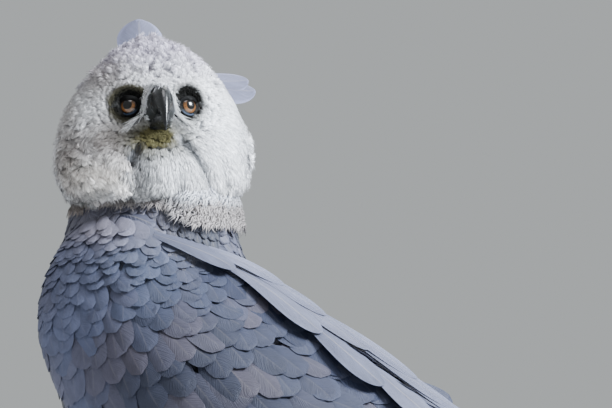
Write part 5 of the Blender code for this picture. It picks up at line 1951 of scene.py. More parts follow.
def bill_rings(stations, tip, detail, around, narrow_top, nostrils=False):
    """Rings of one half of the bill in the head's frame, up to the point."""
    last = len(stations) - 1
    angles = np.linspace(0, 2 * math.pi, around, endpoint=False)
    c, s = squared(angles, 2.3)
    rings = []
    for place in np.linspace(0, last, detail):
        top_y, top_z, low_y, low_z, half = along_rows(stations, np.array([place]))[0]
        x = half * s * (1 - narrow_top * c)
        y = (top_y + low_y) / 2 + (top_y - low_y) / 2 * c
        z = (top_z + low_z) / 2 + (top_z - low_z) / 2 * c
        rings.append(np.stack((x, y, z), -1))
    end = rings[-1]
    for share in (0.45, 0.75, 0.92):
        rings.append(end + (np.array(tip) - end) * share * np.array((1, 1, 1)))
    rings = np.array(rings)
    if nostrils:
        away = rings - NOSTRIL * np.where(rings[..., 0:1] < 0, (-1, 1, 1), 1)
        tilted = away[..., 2] + away[..., 1] * 0.45
        near = np.exp(-((away[..., 1] / 0.0026) ** 2) - (tilted / 0.0056) ** 2)
        rings[..., 0] -= np.sign(rings[..., 0]) * 0.0045 * near
    return rings


def nostril_share(points):
    """1 in the middle of a nostril, and 0 away from it."""
    away = points - NOSTRIL * np.where(points[..., 0:1] < 0, (-1, 1, 1), 1)
    tilted = away[..., 2] + away[..., 1] * 0.45
    return np.exp(-((away[..., 1] / 0.0024) ** 2) - (tilted / 0.0050) ** 2)


def build_bill():
    """Cere, upper bill and lower bill."""
    horn = horn_material("bill_horn", (0.0085, 0.0095, 0.0100), (0.004, 0.0045, 0.006), 0.27, 26.0)
    cere = bill_rings(UPPER_BILL[: CERE_FRONT + 1], (0, -0.0712, 0.0010), 44, 72, 0.26, True)
    upper = bill_rings(UPPER_BILL[CERE_FRONT:], BILL_TIP, 60, 64, 0.26)
    upper[0:1] = upper[0:1] * np.array((0.97, 1, 1))
    lower = bill_rings(LOWER_BILL, LOWER_BILL_TIP, 40, 48, 0.0)
    parts = (
        ("cere", cere[:-3], None, cere_material(), "skin", "cere"),
        ("bill_upper", upper, BILL_TIP, horn, "horn", "bill_upper"),
        ("bill_lower", lower, LOWER_BILL_TIP, horn, "horn", "bill_lower"),
    )
    for name, rings, tip, material, slot, node in parts:
        share = np.repeat(np.linspace(0, 1, len(rings)), rings.shape[1])
        points, faces = tube_arrays(rings, None, tip)
        mesh = outward(mesh_of(name + "_form", from_head(points), faces))
        per_point(mesh, "share", np.append(share, (0, 1)))
        per_point(mesh, "pit", nostril_share(points))
        obj = show(name + "_form", mesh, material)
        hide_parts(node)


def build_gape():
    """The soft edge of the mouth, from the bill's corner out across the cheek."""
    parts = []
    for side in (1, -1):
        places = np.linspace(0, 3, 24)
        middle = along_rows(LIP_POINTS, places) * np.array((side, 1, 1))
        face = head_local(*face_place(middle[:, 0], middle[:, 2]).T)
        middle = face + np.array((0, -1, 0)) * 0.0006
        middle[0] = LIP_POINTS[0] * np.array((side, 1, 1))
        radius = 0.0009 - 0.0005 * places / places[-1]
        ring_angles = np.linspace(0, 2 * math.pi, 12, endpoint=False)
        ahead = unit(np.gradient(middle, axis=0))
        up = unit(np.cross(ahead, np.array((0.0, 1.0, 0.0))))
        out = np.cross(ahead, up)
        rings = [
            middle[k] + radius[k] * (
                np.cos(ring_angles)[:, None] * up[k] + np.sin(ring_angles)[:, None] * out[k] * 0.5
            )
            for k in range(len(places))
        ]
        parts.append(tube_arrays(rings))
    points, faces = joined(parts)
    mesh = outward(mesh_of("gape", from_head(points), faces))
    per_point(mesh, "lower", np.full(len(points), 0.12))
    show("gape", mesh, shared_material("lid_skin", lid_material))


# --- Eyes --------------------------------------------------------------------------------


def eye_frame(side):
    """Centre of an eye and the ways it looks, up and across, in the head's frame."""
    centre = EYE_CENTRE * np.array((side, 1, 1))
    look = unit(np.array((side * math.sin(EYE_TOE_OUT), -math.cos(EYE_TOE_OUT), 0.04)))
    across = unit(np.cross(look, (0, 0, 1)))
    return centre, look, across, np.cross(across, look)


def build_eyes(look):
    """Eyeballs with a clear bulge, each with a ring of lid round it."""
    wet, soft = eye_material(look), shared_material("lid_skin", lid_material)
    for side, name in ((1, "left"), (-1, "right")):
        centre, ahead, across, up = eye_frame(side)
        away = np.concatenate((np.linspace(0.02, 0.9, 40), np.linspace(0.95, math.pi - 0.05, 24)))
        around = np.linspace(0, 2 * math.pi, 96, endpoint=False)
        bulge = 0.0009 * np.exp(-((away / 0.62) ** 4))
        rings = [
            centre
            + ahead * math.cos(a) * (EYE_RADIUS + b)
            + (across * np.cos(around)[:, None] + up * np.sin(around)[:, None])
            * math.sin(a) * (EYE_RADIUS + b)
            for a, b in zip(away, bulge)
        ]
        front = centre + ahead * (EYE_RADIUS + bulge[0])
        points, faces = tube_arrays(rings, front, centre - ahead * EYE_RADIUS)
        mesh = outward(mesh_of(f"eyeball_{name}", from_head(points), faces))
        per_point(mesh, "away", np.append(np.repeat(away, 96), (0, math.pi)))
        per_point(mesh, "around", np.append(np.tile(around, len(away)), (0, 0)))
        obj = show(f"eyeball_{name}", mesh, wet)
        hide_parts(f"eye_{name}")
        build_lid(name, centre, ahead, across, up, soft)


def build_lid(name, centre, ahead, across, up, soft):
    """A folded ring of bare skin that holds the eye, fuller above than below."""
    around = np.linspace(0, 2 * math.pi, 96, endpoint=False)
    profile = np.linspace(0, 2 * math.pi, 20, endpoint=False)
    rings = []
    for angle in around:
        above = max(math.sin(angle), 0)
        outward_way = across * math.cos(angle) + up * math.sin(angle)
        major = 0.0100 - 0.0036 * above**1.5 + 0.0006 * math.cos(angle) ** 2
        rise = 0.0084 - 0.0010 * math.cos(angle) ** 2 + 0.0022 * above**1.5
        below = max(-math.sin(angle), 0)
        thick = 0.0017 + 0.0013 * above - 0.0003 * below
        middle = centre + outward_way * major + ahead * rise
        ring = [
            middle
            + outward_way * thick * 1.25 * math.cos(turn)
            + ahead * thick * 0.85 * math.sin(turn) * (1 + 0.18 * math.sin(3 * turn + angle))
            for turn in profile
        ]
        rings.append(ring)
    rings = np.array(rings)
    points = rings.reshape(-1, 3)
    index = np.arange(96 * 20).reshape(96, 20)
    a, b = index, np.roll(index, -1, axis=0)
    a2, b2 = np.roll(a, -1, axis=1), np.roll(b, -1, axis=1)
    faces = np.concatenate(
        (np.stack((a, a2, b2), -1).reshape(-1, 3), np.stack((a, b2, b), -1).reshape(-1, 3))
    )
    mesh = outward(mesh_of(f"lids_{name}", from_head(points), faces))
    lower = ease(-np.sin(around), 0.35, 0.85)[:, None] * ease(np.cos(profile - 2.6), 0.1, 0.9)
    per_point(mesh, "lower", lower.ravel())
    show(f"lids_{name}", mesh, soft)


# --- Bristles and leg plates -------------------------------------------------------------


BRISTLE_SIDES = 5


class Growth:
    """A geometry tree that sets one small shape on every point of a mesh."""

    def __init__(self, name, inputs):
        self.tree = bpy.data.node_groups.new(name, "GeometryNodeTree")
        face = self.tree.interface
        face.new_socket("Geometry", in_out="INPUT", socket_type="NodeSocketGeometry")
        for socket, value in inputs:
            face.new_socket(socket, in_out="INPUT", socket_type="NodeSocketFloat").default_value = value
        face.new_socket("Material", in_out="INPUT", socket_type="NodeSocketMaterial")
        face.new_socket("Geometry", in_out="OUTPUT", socket_type="NodeSocketGeometry")
        self.nodes = Nodes(self.tree)
        self.given = self.nodes.add("NodeGroupInput").outputs
        self.end = self.nodes.add("NodeGroupOutput").inputs

    def named(self, name, kind):
        """A value kept on the points."""
        node = self.nodes.add("GeometryNodeInputNamedAttribute", {"data_type": kind}, {"Name": name})
        return node.outputs["Attribute"]

    def spread(self, shape, size):
        """Sets the shape on the points, its height along "aim" and its length along "lie"."""
        upright = self.nodes.add(
            "FunctionNodeAlignRotationToVector", {"axis": "Z"}, {"Vector": self.named("aim", "FLOAT_VECTOR")}
        ).outputs[0]
        laid = self.nodes.add(
            "FunctionNodeAlignRotationToVector",
            {"axis": "X", "pivot_axis": "Z"},
            {"Rotation": upright, "Vector": self.named("lie", "FLOAT_VECTOR")},
        ).outputs[0]
        placed = self.nodes.add(
            "GeometryNodeInstanceOnPoints",
            None,
            {"Points": self.given["Geometry"], "Instance": shape, "Rotation": laid, "Scale": size},
        ).outputs[0]
        made = self.nodes.add("GeometryNodeRealizeInstances", None, {"Geometry": placed}).outputs[0]
        last = self.nodes.add(
            "GeometryNodeSetMaterial", None, {"Geometry": made, "Material": self.given["Material"]}
        ).outputs[0]
        self.tree.links.new(last, self.end["Geometry"])
        return self.tree


def bristle_tree():
    """A thin, bent, tapering bristle on every point."""
    growth = Growth("Bristles", (("Thickness", 0.02), ("Bend", 0.25)))
    nodes, given = growth.nodes, growth.given
    middle = nodes.add("ShaderNodeCombineXYZ", None, {0: given["Bend"], 2: 0.5}).outputs[0]
    curve = nodes.add(
        "GeometryNodeCurveQuadraticBezier",
        None,
        {"Resolution": 6, "Start": (0, 0, 0), "Middle": middle, "End": (0, 0, 1)},
    ).outputs[0]
    share = nodes.add("GeometryNodeSplineParameter").outputs["Factor"]
    taper = nodes.math("MULTIPLY_ADD", share, -0.9, 1.0)
    curve = nodes.add("GeometryNodeSetCurveRadius", None, {"Curve": curve, "Radius": taper}).outputs[0]
    ring = nodes.add(
        "GeometryNodeCurvePrimitiveCircle", None, {"Resolution": BRISTLE_SIDES, "Radius": given["Thickness"]}
    ).outputs[0]
    sweep = nodes.add(
        "GeometryNodeCurveToMesh", None, {"Curve": curve, "Profile Curve": ring, "Fill Caps": True}
    )
    if "Scale" in sweep.inputs:
        growth.tree.links.new(taper, sweep.inputs["Scale"])
    return growth.spread(sweep.outputs[0], growth.named("size", "FLOAT_VECTOR"))


def plate_tree():
    """A low rounded plate on every point."""
    growth = Growth("Plates", ())
    nodes = growth.nodes
    ball = nodes.add(
        "GeometryNodeMeshUVSphere", None, {"Segments": 12, "Rings": 7, "Radius": 1.0}
    ).outputs[0]
    return growth.spread(ball, growth.named("size", "FLOAT_VECTOR"))


def grow(name, tree, places, material, slot, values=None, chart=None):
    """Grows a piece on points: rows of point, aim, lie and size.

    chart holds the places of the points on the skin's unwrap, for a piece of the coat.
    """
    places = np.array(places, float)
    mesh = bpy.data.meshes.new(name + "_points")
    mesh.vertices.add(len(places))
    points = places[:, 0].copy()
    points[:, 1] -= MIDDLE_Y
    mesh.vertices.foreach_set("co", points.astype(np.float32).ravel())
    for k, label in enumerate(("aim", "lie", "size")):
        layer = mesh.attributes.new(label, "FLOAT_VECTOR", "POINT")
        layer.data.foreach_set("vector", places[:, k + 1].astype(np.float32).ravel())
    obj = bpy.data.objects.new(name + "_points", mesh)
    bpy.context.scene.collection.objects.link(obj)
    modifier = obj.modifiers.new("Growth", "NODES")
    modifier.node_group = tree
    for item in tree.interface.items_tree:
        if item.in_out == "INPUT" and item.name in (values or {}):
            modifier[item.identifier] = values[item.name]
        elif item.in_out == "INPUT" and item.name == "Material":
            modifier[item.identifier] = material
    graph = bpy.context.evaluated_depsgraph_get()
    result = bpy.data.meshes.new_from_object(obj.evaluated_get(graph))
    bpy.data.objects.remove(obj)
    bpy.data.meshes.remove(mesh)
    result.name = name
    result.materials.clear()
    result.shade_smooth()
    if chart is not None:
        # The copies of the shape follow each other in the mesh, each with the same corners
        each = len(result.vertices) // len(chart)
        steps = np.arange(len(result.vertices)) % each
        patch = np.stack((steps % BRISTLE_SIDES / BRISTLE_SIDES, steps / each), -1)
        corners = np.repeat(chart, each, axis=0)
        uv_layer(result, "OFBake", corners * (1 - BAKE_PATCH) + patch * BAKE_PATCH)
    return show(name, result, material)


def bristle_material(name, colour):
    """Stiff fine bristles."""
    made, nodes, shader = new_material(name)
    place = nodes.add("ShaderNodeTexCoord").outputs["Object"]
    tone = nodes.add("ShaderNodeTexNoise", None, {"Vector": place, "Scale": 300.0}).outputs[0]
    base = nodes.brighter((*colour, 1), nodes.ramp(tone, 0.3, 0.7, 0.8, 1.2))
    nodes.tree.links.new(base, shader.inputs["Base Color"])
    shader.inputs["Roughness"].default_value = 0.6
    return made


def bristle_rows(count, draw, start, end, way_start, way_end, length, spread):
    """Bristles rooted between two places of the head's frame, with the ways they point."""
    rows = []
    turn = HEAD_PLACE[:3, :3]
    for _ in range(count):
        t, r = draw.random(2)
        root = np.array(start) * (1 - t) + np.array(end) * t
        way = unit(np.array(way_start) * (1 - t) + np.array(way_end) * t + draw.normal(0, spread, 3))
        root = root + draw.normal(0, 0.0010, 3)
        mirror = draw.choice((1, -1))
        root, way = root * (mirror, 1, 1), way * (mirror, 1, 1)
        reach = length * draw.uniform(0.7, 1.15)
        aim, lie = turn @ way, turn @ np.array((0.0, -1.0, 0.5 * r))
        rows.append((from_head(root), aim, lie, (reach, reach, reach)))
    return rows


def cere_shape(place, angle):
    """A point of the root of the bill, in the bird's frame."""
    top_y, top_z, low_y, low_z, half = np.moveaxis(along_rows(UPPER_BILL, place), -1, 0)
    c, s = squared(angle, 2.3)
    x = half * s * (1 - 0.26 * c)
    y = (top_y + low_y) / 2 + (top_y - low_y) / 2 * c
    z = (top_z + low_z) / 2 + (top_z - low_z) / 2 * c
    return from_head(np.stack((x, y, z), -1))


def build_cere_plumage(look):
    """Short stiff feathers that run down over the root of the bill, white at its sides, and far down its top
    as a painted highlight of the glossy bill.
    """
    draw = np.random.default_rng(85)
    surface = Surface(cere_shape, ((0, 4), (-math.pi, math.pi)), HEAD_PLACE[:3, :3] @ (0, 0, 1.0))
    rows = np.arange(-0.1, 4.3, 0.085)
    places = scatter(surface, rows, -2.35, 2.35, 0.0011, draw, 0.4)
    place, angle = places.T
    # The plumage reaches furthest forward along the top, where its white run is partly a painted highlight of
    # the bill's ridge, and ends before the nostrils
    reach = 1.30 + 2.40 * np.exp(-((np.abs(angle) / 0.62) ** 2)) - 0.35 * ease(np.abs(angle), 1.3, 2.2)
    keep = place < reach + draw.normal(0, 0.30, len(place))
    places, angle = places[keep], angle[keep]
    count = len(places)
    du, dv, out = surface.frame(places)
    aside = draw.normal(0, 0.16, count) + np.sign(angle) * 0.40 * ease(np.abs(angle), 0.5, 1.6)
    flow = turned(unit(du - dot(du, out) * out), out, aside)
    lengths = 0.0078 * draw.uniform(0.7, 1.2, count)
    widths = np.full(count, 0.0008)
    high = draw.uniform(0.0006, 0.0018, count)
    form = ((0.0, 1.0), (0.5, 0.85), (1.0, 0.15))
    vanes = lay(
        surface, places, flow, lengths, widths, form, (-0.0006, high * 0.8, high),
        across=2, thick=0.0003, arch=0.0, curl=draw.normal(0, 0.10, count),
    )
    colour = np.repeat(np.array([look.white_and_lit_colour]), count, axis=0)
    colour = mixed(colour, look.face_colour, draw.uniform(0, 0.5, count))
    coat = Coat("cere_plumage")
    tints = np.repeat(colour[:, None], len(form), axis=1)
    coat.add(vanes, tints, draw.random(count), surface.on_chart(places))
    coat.finish(down_material("head_blades", 0.16, 0.30))


def build_bristles():
    """Fine pale bristles over the root of the bill, and dark ones at the corners of the mouth."""
    draw = np.random.default_rng(81)
    tree = bristle_tree()
    pale = bristle_rows(
        260, draw, (0.0150, -0.047, 0.0140), (0.0175, -0.050, -0.0100),
        (-0.10, -0.72, -0.45), (0.10, -0.70, -0.60), 0.0120, 0.14,
    )
    pale += bristle_rows(
        90, draw, (0.000, -0.050, 0.0215), (0.0120, -0.048, 0.0185),
        (0.0, -0.97, -0.10), (-0.10, -0.92, -0.20), 0.0110, 0.12,
    )
    pale += bristle_rows(
        110, draw, (0.0160, -0.054, -0.0105), (0.0300, -0.048, -0.0215),
        (0.60, -0.40, -0.62), (0.75, -0.25, -0.55), 0.0140, 0.14,
    )
    dark = bristle_rows(
        70, draw, (0.0150, -0.054, -0.0125), (0.0280, -0.049, -0.0225),
        (0.62, -0.45, -0.58), (0.78, -0.30, -0.50), 0.0110, 0.08,
    )
    values = {"Thickness": 0.020, "Bend": 0.16}
    looks = (
        ("bill_bristles", pale, "pale_bristle", (0.78, 0.79, 0.80), "plumage_pale"),
        ("mouth_bristles", dark, "dark_bristle", (0.03, 0.03, 0.035), "plumage_dark"),
    )
    for name, rows, look_name, colour, slot in looks:
        roots = to_head(np.array([row[0] for row in rows]))
        chart = HEAD.on_chart(face_place(roots[:, 0], roots[:, 2]))
        grow(name, tree, rows, bristle_material(look_name, colour), slot, values, chart)


def build_plates(skin):
    """Broad plates down the front of the legs and over the toes."""
    rows = []
    for side in (1, -1):
        leg = Surface(limb_shape(TARSUS_STATIONS, side), ((0, 4), (-3.1, 3.1)), (side, 0, 0))
        for k in range(13):
            for turn, wide in ((-math.pi / 2 - 0.42, 0.0048), (-math.pi / 2 + 0.42, 0.0048)):
                place = np.array([[0.75 + 0.235 * k + 0.06 * (turn > -1.5), turn]])
                du, dv, out = leg.frame(place)
                point = leg.point(place)[0] - out[0] * 0.0004
                rows.append((point, out[0], unit(du)[0], (0.0036, wide, 0.0012)))
        for toe in TOES:
            middle, size, ahead = toe_path(toe[1], toe[2], toe[4], side)
            for k in range(9, 42, 4):
                top = middle[k] + np.array((0, 0, size[k] - 0.0005))
                slope = unit(middle[k + 1] + (0, 0, size[k + 1]) - middle[k - 1] - (0, 0, size[k - 1]))
                aim = unit(np.cross(slope, np.cross((0, 0, 1.0), slope)))
                rows.append((top, aim, slope, (0.0044, size[k] * 0.62, 0.0011)))
    grow("leg_plates", plate_tree(), rows, skin, "skin")


# --- Legs and feet -----------------------------------------------------------------------


def toe_heading(heading, side):
    """The way a toe points over the floor."""
    angle = math.radians(heading)
    return np.array((side * math.sin(angle), -math.cos(angle), 0.0))


def toe_path(heading, length, radius, side, count=44):
    """Middle points and radii of a toe, thick under each joint."""
    ahead = toe_heading(heading, side)
    share = np.linspace(0, 1, count)
    pad = 0.5 - 0.5 * np.cos(2 * math.pi * (2 * share + 0.1))
    size = radius * (1 - 0.22 * share) * (0.90 + 0.14 * pad) * (1 - 0.45 * share**10)
    height = size - 0.0013 + 0.0030 * (1 - pad)
    middle = np.array((FOOT_X * side, FOOT_Y, 0.0)) + ahead * (length * share + 0.004)[:, None]
    middle[:, 2] = height
    return middle, size, ahead


def round_rings(middles, radii, ahead, around, flat=0.0):
    """Rings about a path that lies along one way over the floor."""
    side = np.cross((0, 0, 1.0), ahead)
    angles = np.linspace(0, 2 * math.pi, around, endpoint=False)
    rings = []
    for middle, radius in zip(middles, radii):
        ring = (
            middle
            + side * (np.cos(angles) * radius)[:, None]
            + np.array((0, 0, 1.0)) * (np.sin(angles) * radius)[:, None]
        )
        ring[:, 2] = np.maximum(ring[:, 2], flat)
        rings.append(ring)
    return np.array(rings)


def claw_rise(length, base_height):
    """The slope at a claw's root that brings its tip down near the floor."""
    low, high = -1.2, 1.4
    for _ in range(50):
        rise = (low + high) / 2
        drop = length * (math.cos(rise - CLAW_CURL) - math.cos(rise)) / CLAW_CURL
        if base_height + drop > CLAW_TIP_HEIGHT:
            high = rise
        else:
            low = rise
    return (low + high) / 2


def build_claw(side, toe, horn):
    """One long curved claw with a blunt keel beneath."""
    name, heading, length, claw_length, radius, claw_radius = toe
    middle, size, ahead = toe_path(heading, length, radius, side)
    base = middle[-1] - ahead * 0.008 + np.array((0, 0, 0.002))
    rise = claw_rise(claw_length, base[2])
    up = np.array((0, 0, 1.0))
    wide = np.cross(up, ahead)
    angles = np.linspace(0, 2 * math.pi, 24, endpoint=False)
    rings = []
    shares = 1 - (1 - np.linspace(0, 0.985, 40)) ** 1.2
    for share in shares:
        turn = rise - CLAW_CURL * share
        forward = claw_length * (math.sin(rise) - math.sin(turn)) / CLAW_CURL
        height = claw_length * (math.cos(turn) - math.cos(rise)) / CLAW_CURL
        centre = base + ahead * forward + up * height
        along = ahead * math.cos(turn) + up * math.sin(turn)
        top = np.cross(along, wide) * -1
        thick = claw_radius * (1 - share**1.35) + 0.0007
        ring = (
            centre
            + wide * (np.cos(angles) * thick * 0.90)[:, None]
            + top * (np.sin(angles) * thick * np.where(np.sin(angles) > 0, 1.0, 0.92))[:, None]
        )
        ring[:, 2] = np.maximum(ring[:, 2], 0.0)
        rings.append(ring)
    points, faces = tube_arrays(rings)
    label = "left" if side > 0 else "right"
    mesh = outward(mesh_of(f"talon_{label}_{name}", points, faces))
    per_point(mesh, "share", np.append(np.repeat(shares, 24), (0, 1)))
    obj = show(f"talon_{label}_{name}", mesh, horn)
    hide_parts(f"claw_{label}_{name}")


def build_legs(look):
    """Bare lower legs and toes, and their claws."""
    skin = foot_material(look)
    horn = horn_material("claw_horn", (0.020, 0.020, 0.022), (0.010, 0.010, 0.011), 0.30, 18.0)
    for side, label in ((1, "left"), (-1, "right")):
        around = np.linspace(-math.pi, math.pi, 48, endpoint=False)
        tarsus = Surface(limb_shape(TARSUS_STATIONS, side), ((0, 4), (-3.1, 3.1)), (side, 0, 0))
        parts = [tube_arrays(inset_grid(tarsus, np.linspace(0, 4, 40), around, 0.0))]
        angles = np.linspace(0.05, math.pi - 0.05, 24)
        centre = np.array((FOOT_X * side, FOOT_Y, PALM_HEIGHT))
        palm = [
            centre + np.stack(
                (
                    np.cos(around) * math.sin(a) * PALM_RADII[0],
                    np.sin(around) * math.sin(a) * PALM_RADII[1],
                    np.full(48, math.cos(a) * PALM_RADII[2]),
                ), -1,
            )
            for a in angles
        ]
        palm = np.array(palm)
        palm[..., 2] = np.maximum(palm[..., 2], 0.0)
        parts.append(tube_arrays(palm))
        for toe in TOES:
            middle, size, ahead = toe_path(toe[1], toe[2], toe[4], side)
            parts.append(tube_arrays(round_rings(middle, size, ahead, 28)))
        mesh = melted(f"leg_skin_{label}", parts, 0.0017, 3)
        points = np.empty(len(mesh.vertices) * 3)
        mesh.vertices.foreach_get("co", points)
        points = points.reshape(-1, 3)
        points[:, 2] = np.maximum(points[:, 2], 0.0)
        mesh.vertices.foreach_set("co", points.ravel())
        obj = show(f"leg_skin_{label}", mesh, skin)
        nodes = [f"tarsus_{label}", f"foot_{label}"]
        nodes += [f"toe_{label}_{toe[0]}" for toe in TOES]
        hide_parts(*nodes)
        for toe in TOES:
            build_claw(side, toe, horn)
    build_plates(skin)


# --- Operators and panel -----------------------------------------------------------------


class HarpySettings(bpy.types.PropertyGroup):
    """Sizes and colours of the eagle that a user may change."""

    skin_detail: FloatProperty(
        name="Skin detail", description="Size of the skin's faces",
        default=0.0032, unit="LENGTH", min=0.002,
    )
    plume_length: FloatProperty(
        name="Plume length", description="Length of the plumes on the cheeks",
        default=0.0135, unit="LENGTH",
    )
    plume_spacing: FloatProperty(
        name="Plume spacing", description="Distance between the roots of the head's plumes",
        default=0.0040, unit="LENGTH", min=0.002,
    )
    face_colour: FloatVectorProperty(
        name="Face", description="Plumage of the face", subtype="COLOR",
        default=(0.74, 0.74, 0.76),
    )
    crown_colour: FloatVectorProperty(
        name="Crown", description="Plumage on top of the head", subtype="COLOR",
        default=(0.43, 0.395, 0.50),
    )
    nape_colour: FloatVectorProperty(
        name="Nape", description="Plumage on the back of the head", subtype="COLOR",
        default=(0.40, 0.40, 0.43),
    )
    chin_colour: FloatVectorProperty(
        name="Chin", description="Olive plumage under the bill", subtype="COLOR",
        default=(0.105, 0.094, 0.040),
    )
    # Dark plumage round the eyes, also painted shade of the brows
    eye_patch_and_shade_colour: FloatVectorProperty(
        name="Eye patch", description="Plumage round the eyes", subtype="COLOR",
        default=(0.0036, 0.0034, 0.0028),
    )
    # Plumage of the neck and breast, also painted shade in a hollow of the face
    collar_and_shade_colour: FloatVectorProperty(
        name="Collar", description="Plumage of the neck and upper breast", subtype="COLOR",
        default=(0.034, 0.038, 0.056),
    )
    mantle_colour: FloatVectorProperty(
        name="Mantle", description="Plumage of the back", subtype="COLOR",
        default=(0.090, 0.092, 0.128),
    )
    wing_colour: FloatVectorProperty(
        name="Wing", description="Wing coverts", subtype="COLOR",
        default=(0.029, 0.035, 0.065),
    )
    wing_shade_colour: FloatVectorProperty(
        name="Wing shade", description="Lower coverts and flight feathers", subtype="COLOR",
        default=(0.042, 0.043, 0.064),
    )
    belly_colour: FloatVectorProperty(
        name="Belly", description="Plumage of the belly and thighs", subtype="COLOR",
        default=(0.72, 0.71, 0.69),
    )
    # Whitest plumage, also painted light on the left cheek and throat and a painted highlight down the top of
    # the bill
    white_and_lit_colour: FloatVectorProperty(
        name="White", description="Whitest plumage of the cheeks and throat", subtype="COLOR",
        default=(0.92, 0.94, 0.98),
    )
    cream_colour: FloatVectorProperty(
        name="Cream", description="The flap of plumage under the left cheek", subtype="COLOR",
        default=(0.86, 0.81, 0.76),
    )
    # Brownish grey of the collar's front, also painted warm shade on the right side and in the folds of the
    # face
    dusky_and_shade_colour: FloatVectorProperty(
        name="Dusky", description="Brownish grey plumage in the folds of the face",
        subtype="COLOR", default=(0.262, 0.222, 0.202),
    )
    # Grey tips of the head's lower edge, also painted shade in a hollow of the face
    frill_and_shade_colour: FloatVectorProperty(
        name="Frill", description="Grey tips along the lower edge of the head",
        subtype="COLOR", default=(0.20, 0.205, 0.21),
    )
    wing_brown_colour: FloatVectorProperty(
        name="Wing brown", description="Older, browner wing coverts", subtype="COLOR",
        default=(0.066, 0.057, 0.076),
    )
    mantle_patch_colour: FloatVectorProperty(
        name="Mantle patch", description="Pale, brownish feathers before the shoulder",
        subtype="COLOR", default=(0.235, 0.222, 0.275),
    )
    scale_colour: FloatVectorProperty(
        name="Shoulder scales", description="The darkest small coverts", subtype="COLOR",
        default=(0.046, 0.060, 0.102),
    )
    worn_colour: FloatVectorProperty(
        name="Worn feathers", description="Paler, browner feathers of the wing and shoulder",
        subtype="COLOR", default=(0.110, 0.118, 0.172),
    )
    tail_colour: FloatVectorProperty(
        name="Tail", description="Pale bands of the tail", subtype="COLOR",
        default=(0.26, 0.26, 0.27),
    )
    crest_colour: FloatVectorProperty(
        name="Crest", description="Feathers of the crest", subtype="COLOR",
        default=(0.115, 0.122, 0.185),
    )
    iris_colour: FloatVectorProperty(
        name="Iris", description="Colour of the eye", subtype="COLOR",
        default=(0.150, 0.064, 0.022),
    )
    foot_colour: FloatVectorProperty(
        name="Feet", description="Bare skin of the legs and toes", subtype="COLOR",
        default=(0.62, 0.46, 0.12),
    )


def build_stage():
    """Floor, light and camera."""
    # Direction of the camera from the bird, and the picture's way to the right
    toward = np.array((0.9659, 0.2588, 0.0))
    right = np.array((-0.2588, 0.9659, 0.0))
    target = np.array((0.0, 0.058 - MIDDLE_Y, 0.531))
    mesh = bpy.data.meshes.new("floor")
    bm = bmesh.new()
    bmesh.ops.create_circle(bm, cap_ends=True, radius=2.6, segments=96)
    bm.to_mesh(mesh)
    bm.free()
    mesh.materials.append(studio_material("studio_floor", (0.72, 0.72, 0.71)))
    floor = bpy.data.objects.new("floor", mesh)
    bpy.context.scene.collection.objects.link(floor)
    lights = (
        ("key", toward * 0.7 + right * 2.1 + np.array((0, 0, 1.5)), 0.9, 375.0, (0.88, 0.94, 1.0)),
        ("top", toward * 0.5 - right * 0.3 + np.array((0, 0, 2.4)), 1.4, 36.0, (0.97, 0.96, 1.0)),
        ("rim", -toward * 1.6 + right * 0.4 + np.array((0, 0, 1.9)), 1.2, 30.0, (0.95, 0.98, 1.0)),
    )
    for name, offset, size, power, colour in lights:
        lamp = bpy.data.lights.new(name, "AREA")
        lamp.size = size
        lamp.energy = power
        lamp.color = colour
        obj = bpy.data.objects.new(name, lamp)
        obj.location = Vector(target + offset)
        obj.rotation_euler = Vector(-offset).to_track_quat("-Z", "Y").to_euler()
        bpy.context.scene.collection.objects.link(obj)
    world = bpy.data.worlds.new("studio")
    world.use_nodes = True
    sky = world.node_tree.nodes["Background"]
    sky.inputs["Color"].default_value = (0.62, 0.65, 0.66, 1)
    sky.inputs["Strength"].default_value = 0.71
    bpy.context.scene.world = world
    camera = bpy.data.cameras.new("camera")
    camera.sensor_width = 36.0
    distance = 3.45
    camera.lens = 36.0 * distance / 0.612
    obj = bpy.data.objects.new("camera", camera)
    obj.location = Vector(target + toward * distance)
    obj.rotation_euler = Vector(-toward).to_track_quat("-Z", "Y").to_euler()
    bpy.context.scene.collection.objects.link(obj)
    bpy.context.scene.camera = obj


class HARPY_OT_skin(bpy.types.Operator):
    """Build the skin that lies under all the plumage."""

    bl_idname = "harpy.skin"
    bl_label = "Skin"

    def execute(self, context):
        build_skin(context.scene.harpy_eagle)
        return {"FINISHED"}


class HARPY_OT_head_plumage(bpy.types.Operator):
    """Build the small soft feathers of the head."""

    bl_idname = "harpy.head_plumage"
    bl_label = "Head Plumage"

    def execute(self, context):
        build_head_plumage(context.scene.harpy_eagle)
        return {"FINISHED"}


class HARPY_OT_body_plumage(bpy.types.Operator):
    """Build the feathers of the neck, back, breast and belly, and the plumes of the collar."""

    bl_idname = "harpy.body_plumage"
    bl_label = "Body Plumage"

    def execute(self, context):
        build_body_plumage(context.scene.harpy_eagle)
        build_collar(context.scene.harpy_eagle)
        return {"FINISHED"}


class HARPY_OT_thigh_plumage(bpy.types.Operator):
    """Build the barred feathers of the thighs."""

    bl_idname = "harpy.thigh_plumage"
    bl_label = "Thigh Plumage"

    def execute(self, context):
        build_thigh_plumage(context.scene.harpy_eagle)
        return {"FINISHED"}


class HARPY_OT_tail(bpy.types.Operator):
    """Build the tail feathers and their coverts."""

    bl_idname = "harpy.tail"
    bl_label = "Tail"

    def execute(self, context):
        build_tail(context.scene.harpy_eagle)
        return {"FINISHED"}


class HARPY_OT_wings(bpy.types.Operator):
    """Build the feathers of both folded wings and of the back between them."""

    bl_idname = "harpy.wings"
    bl_label = "Wings and Mantle"

    def execute(self, context):
        build_mantle(context.scene.harpy_eagle)
        for side in (1, -1):
            build_wing(context.scene.harpy_eagle, side)
        return {"FINISHED"}


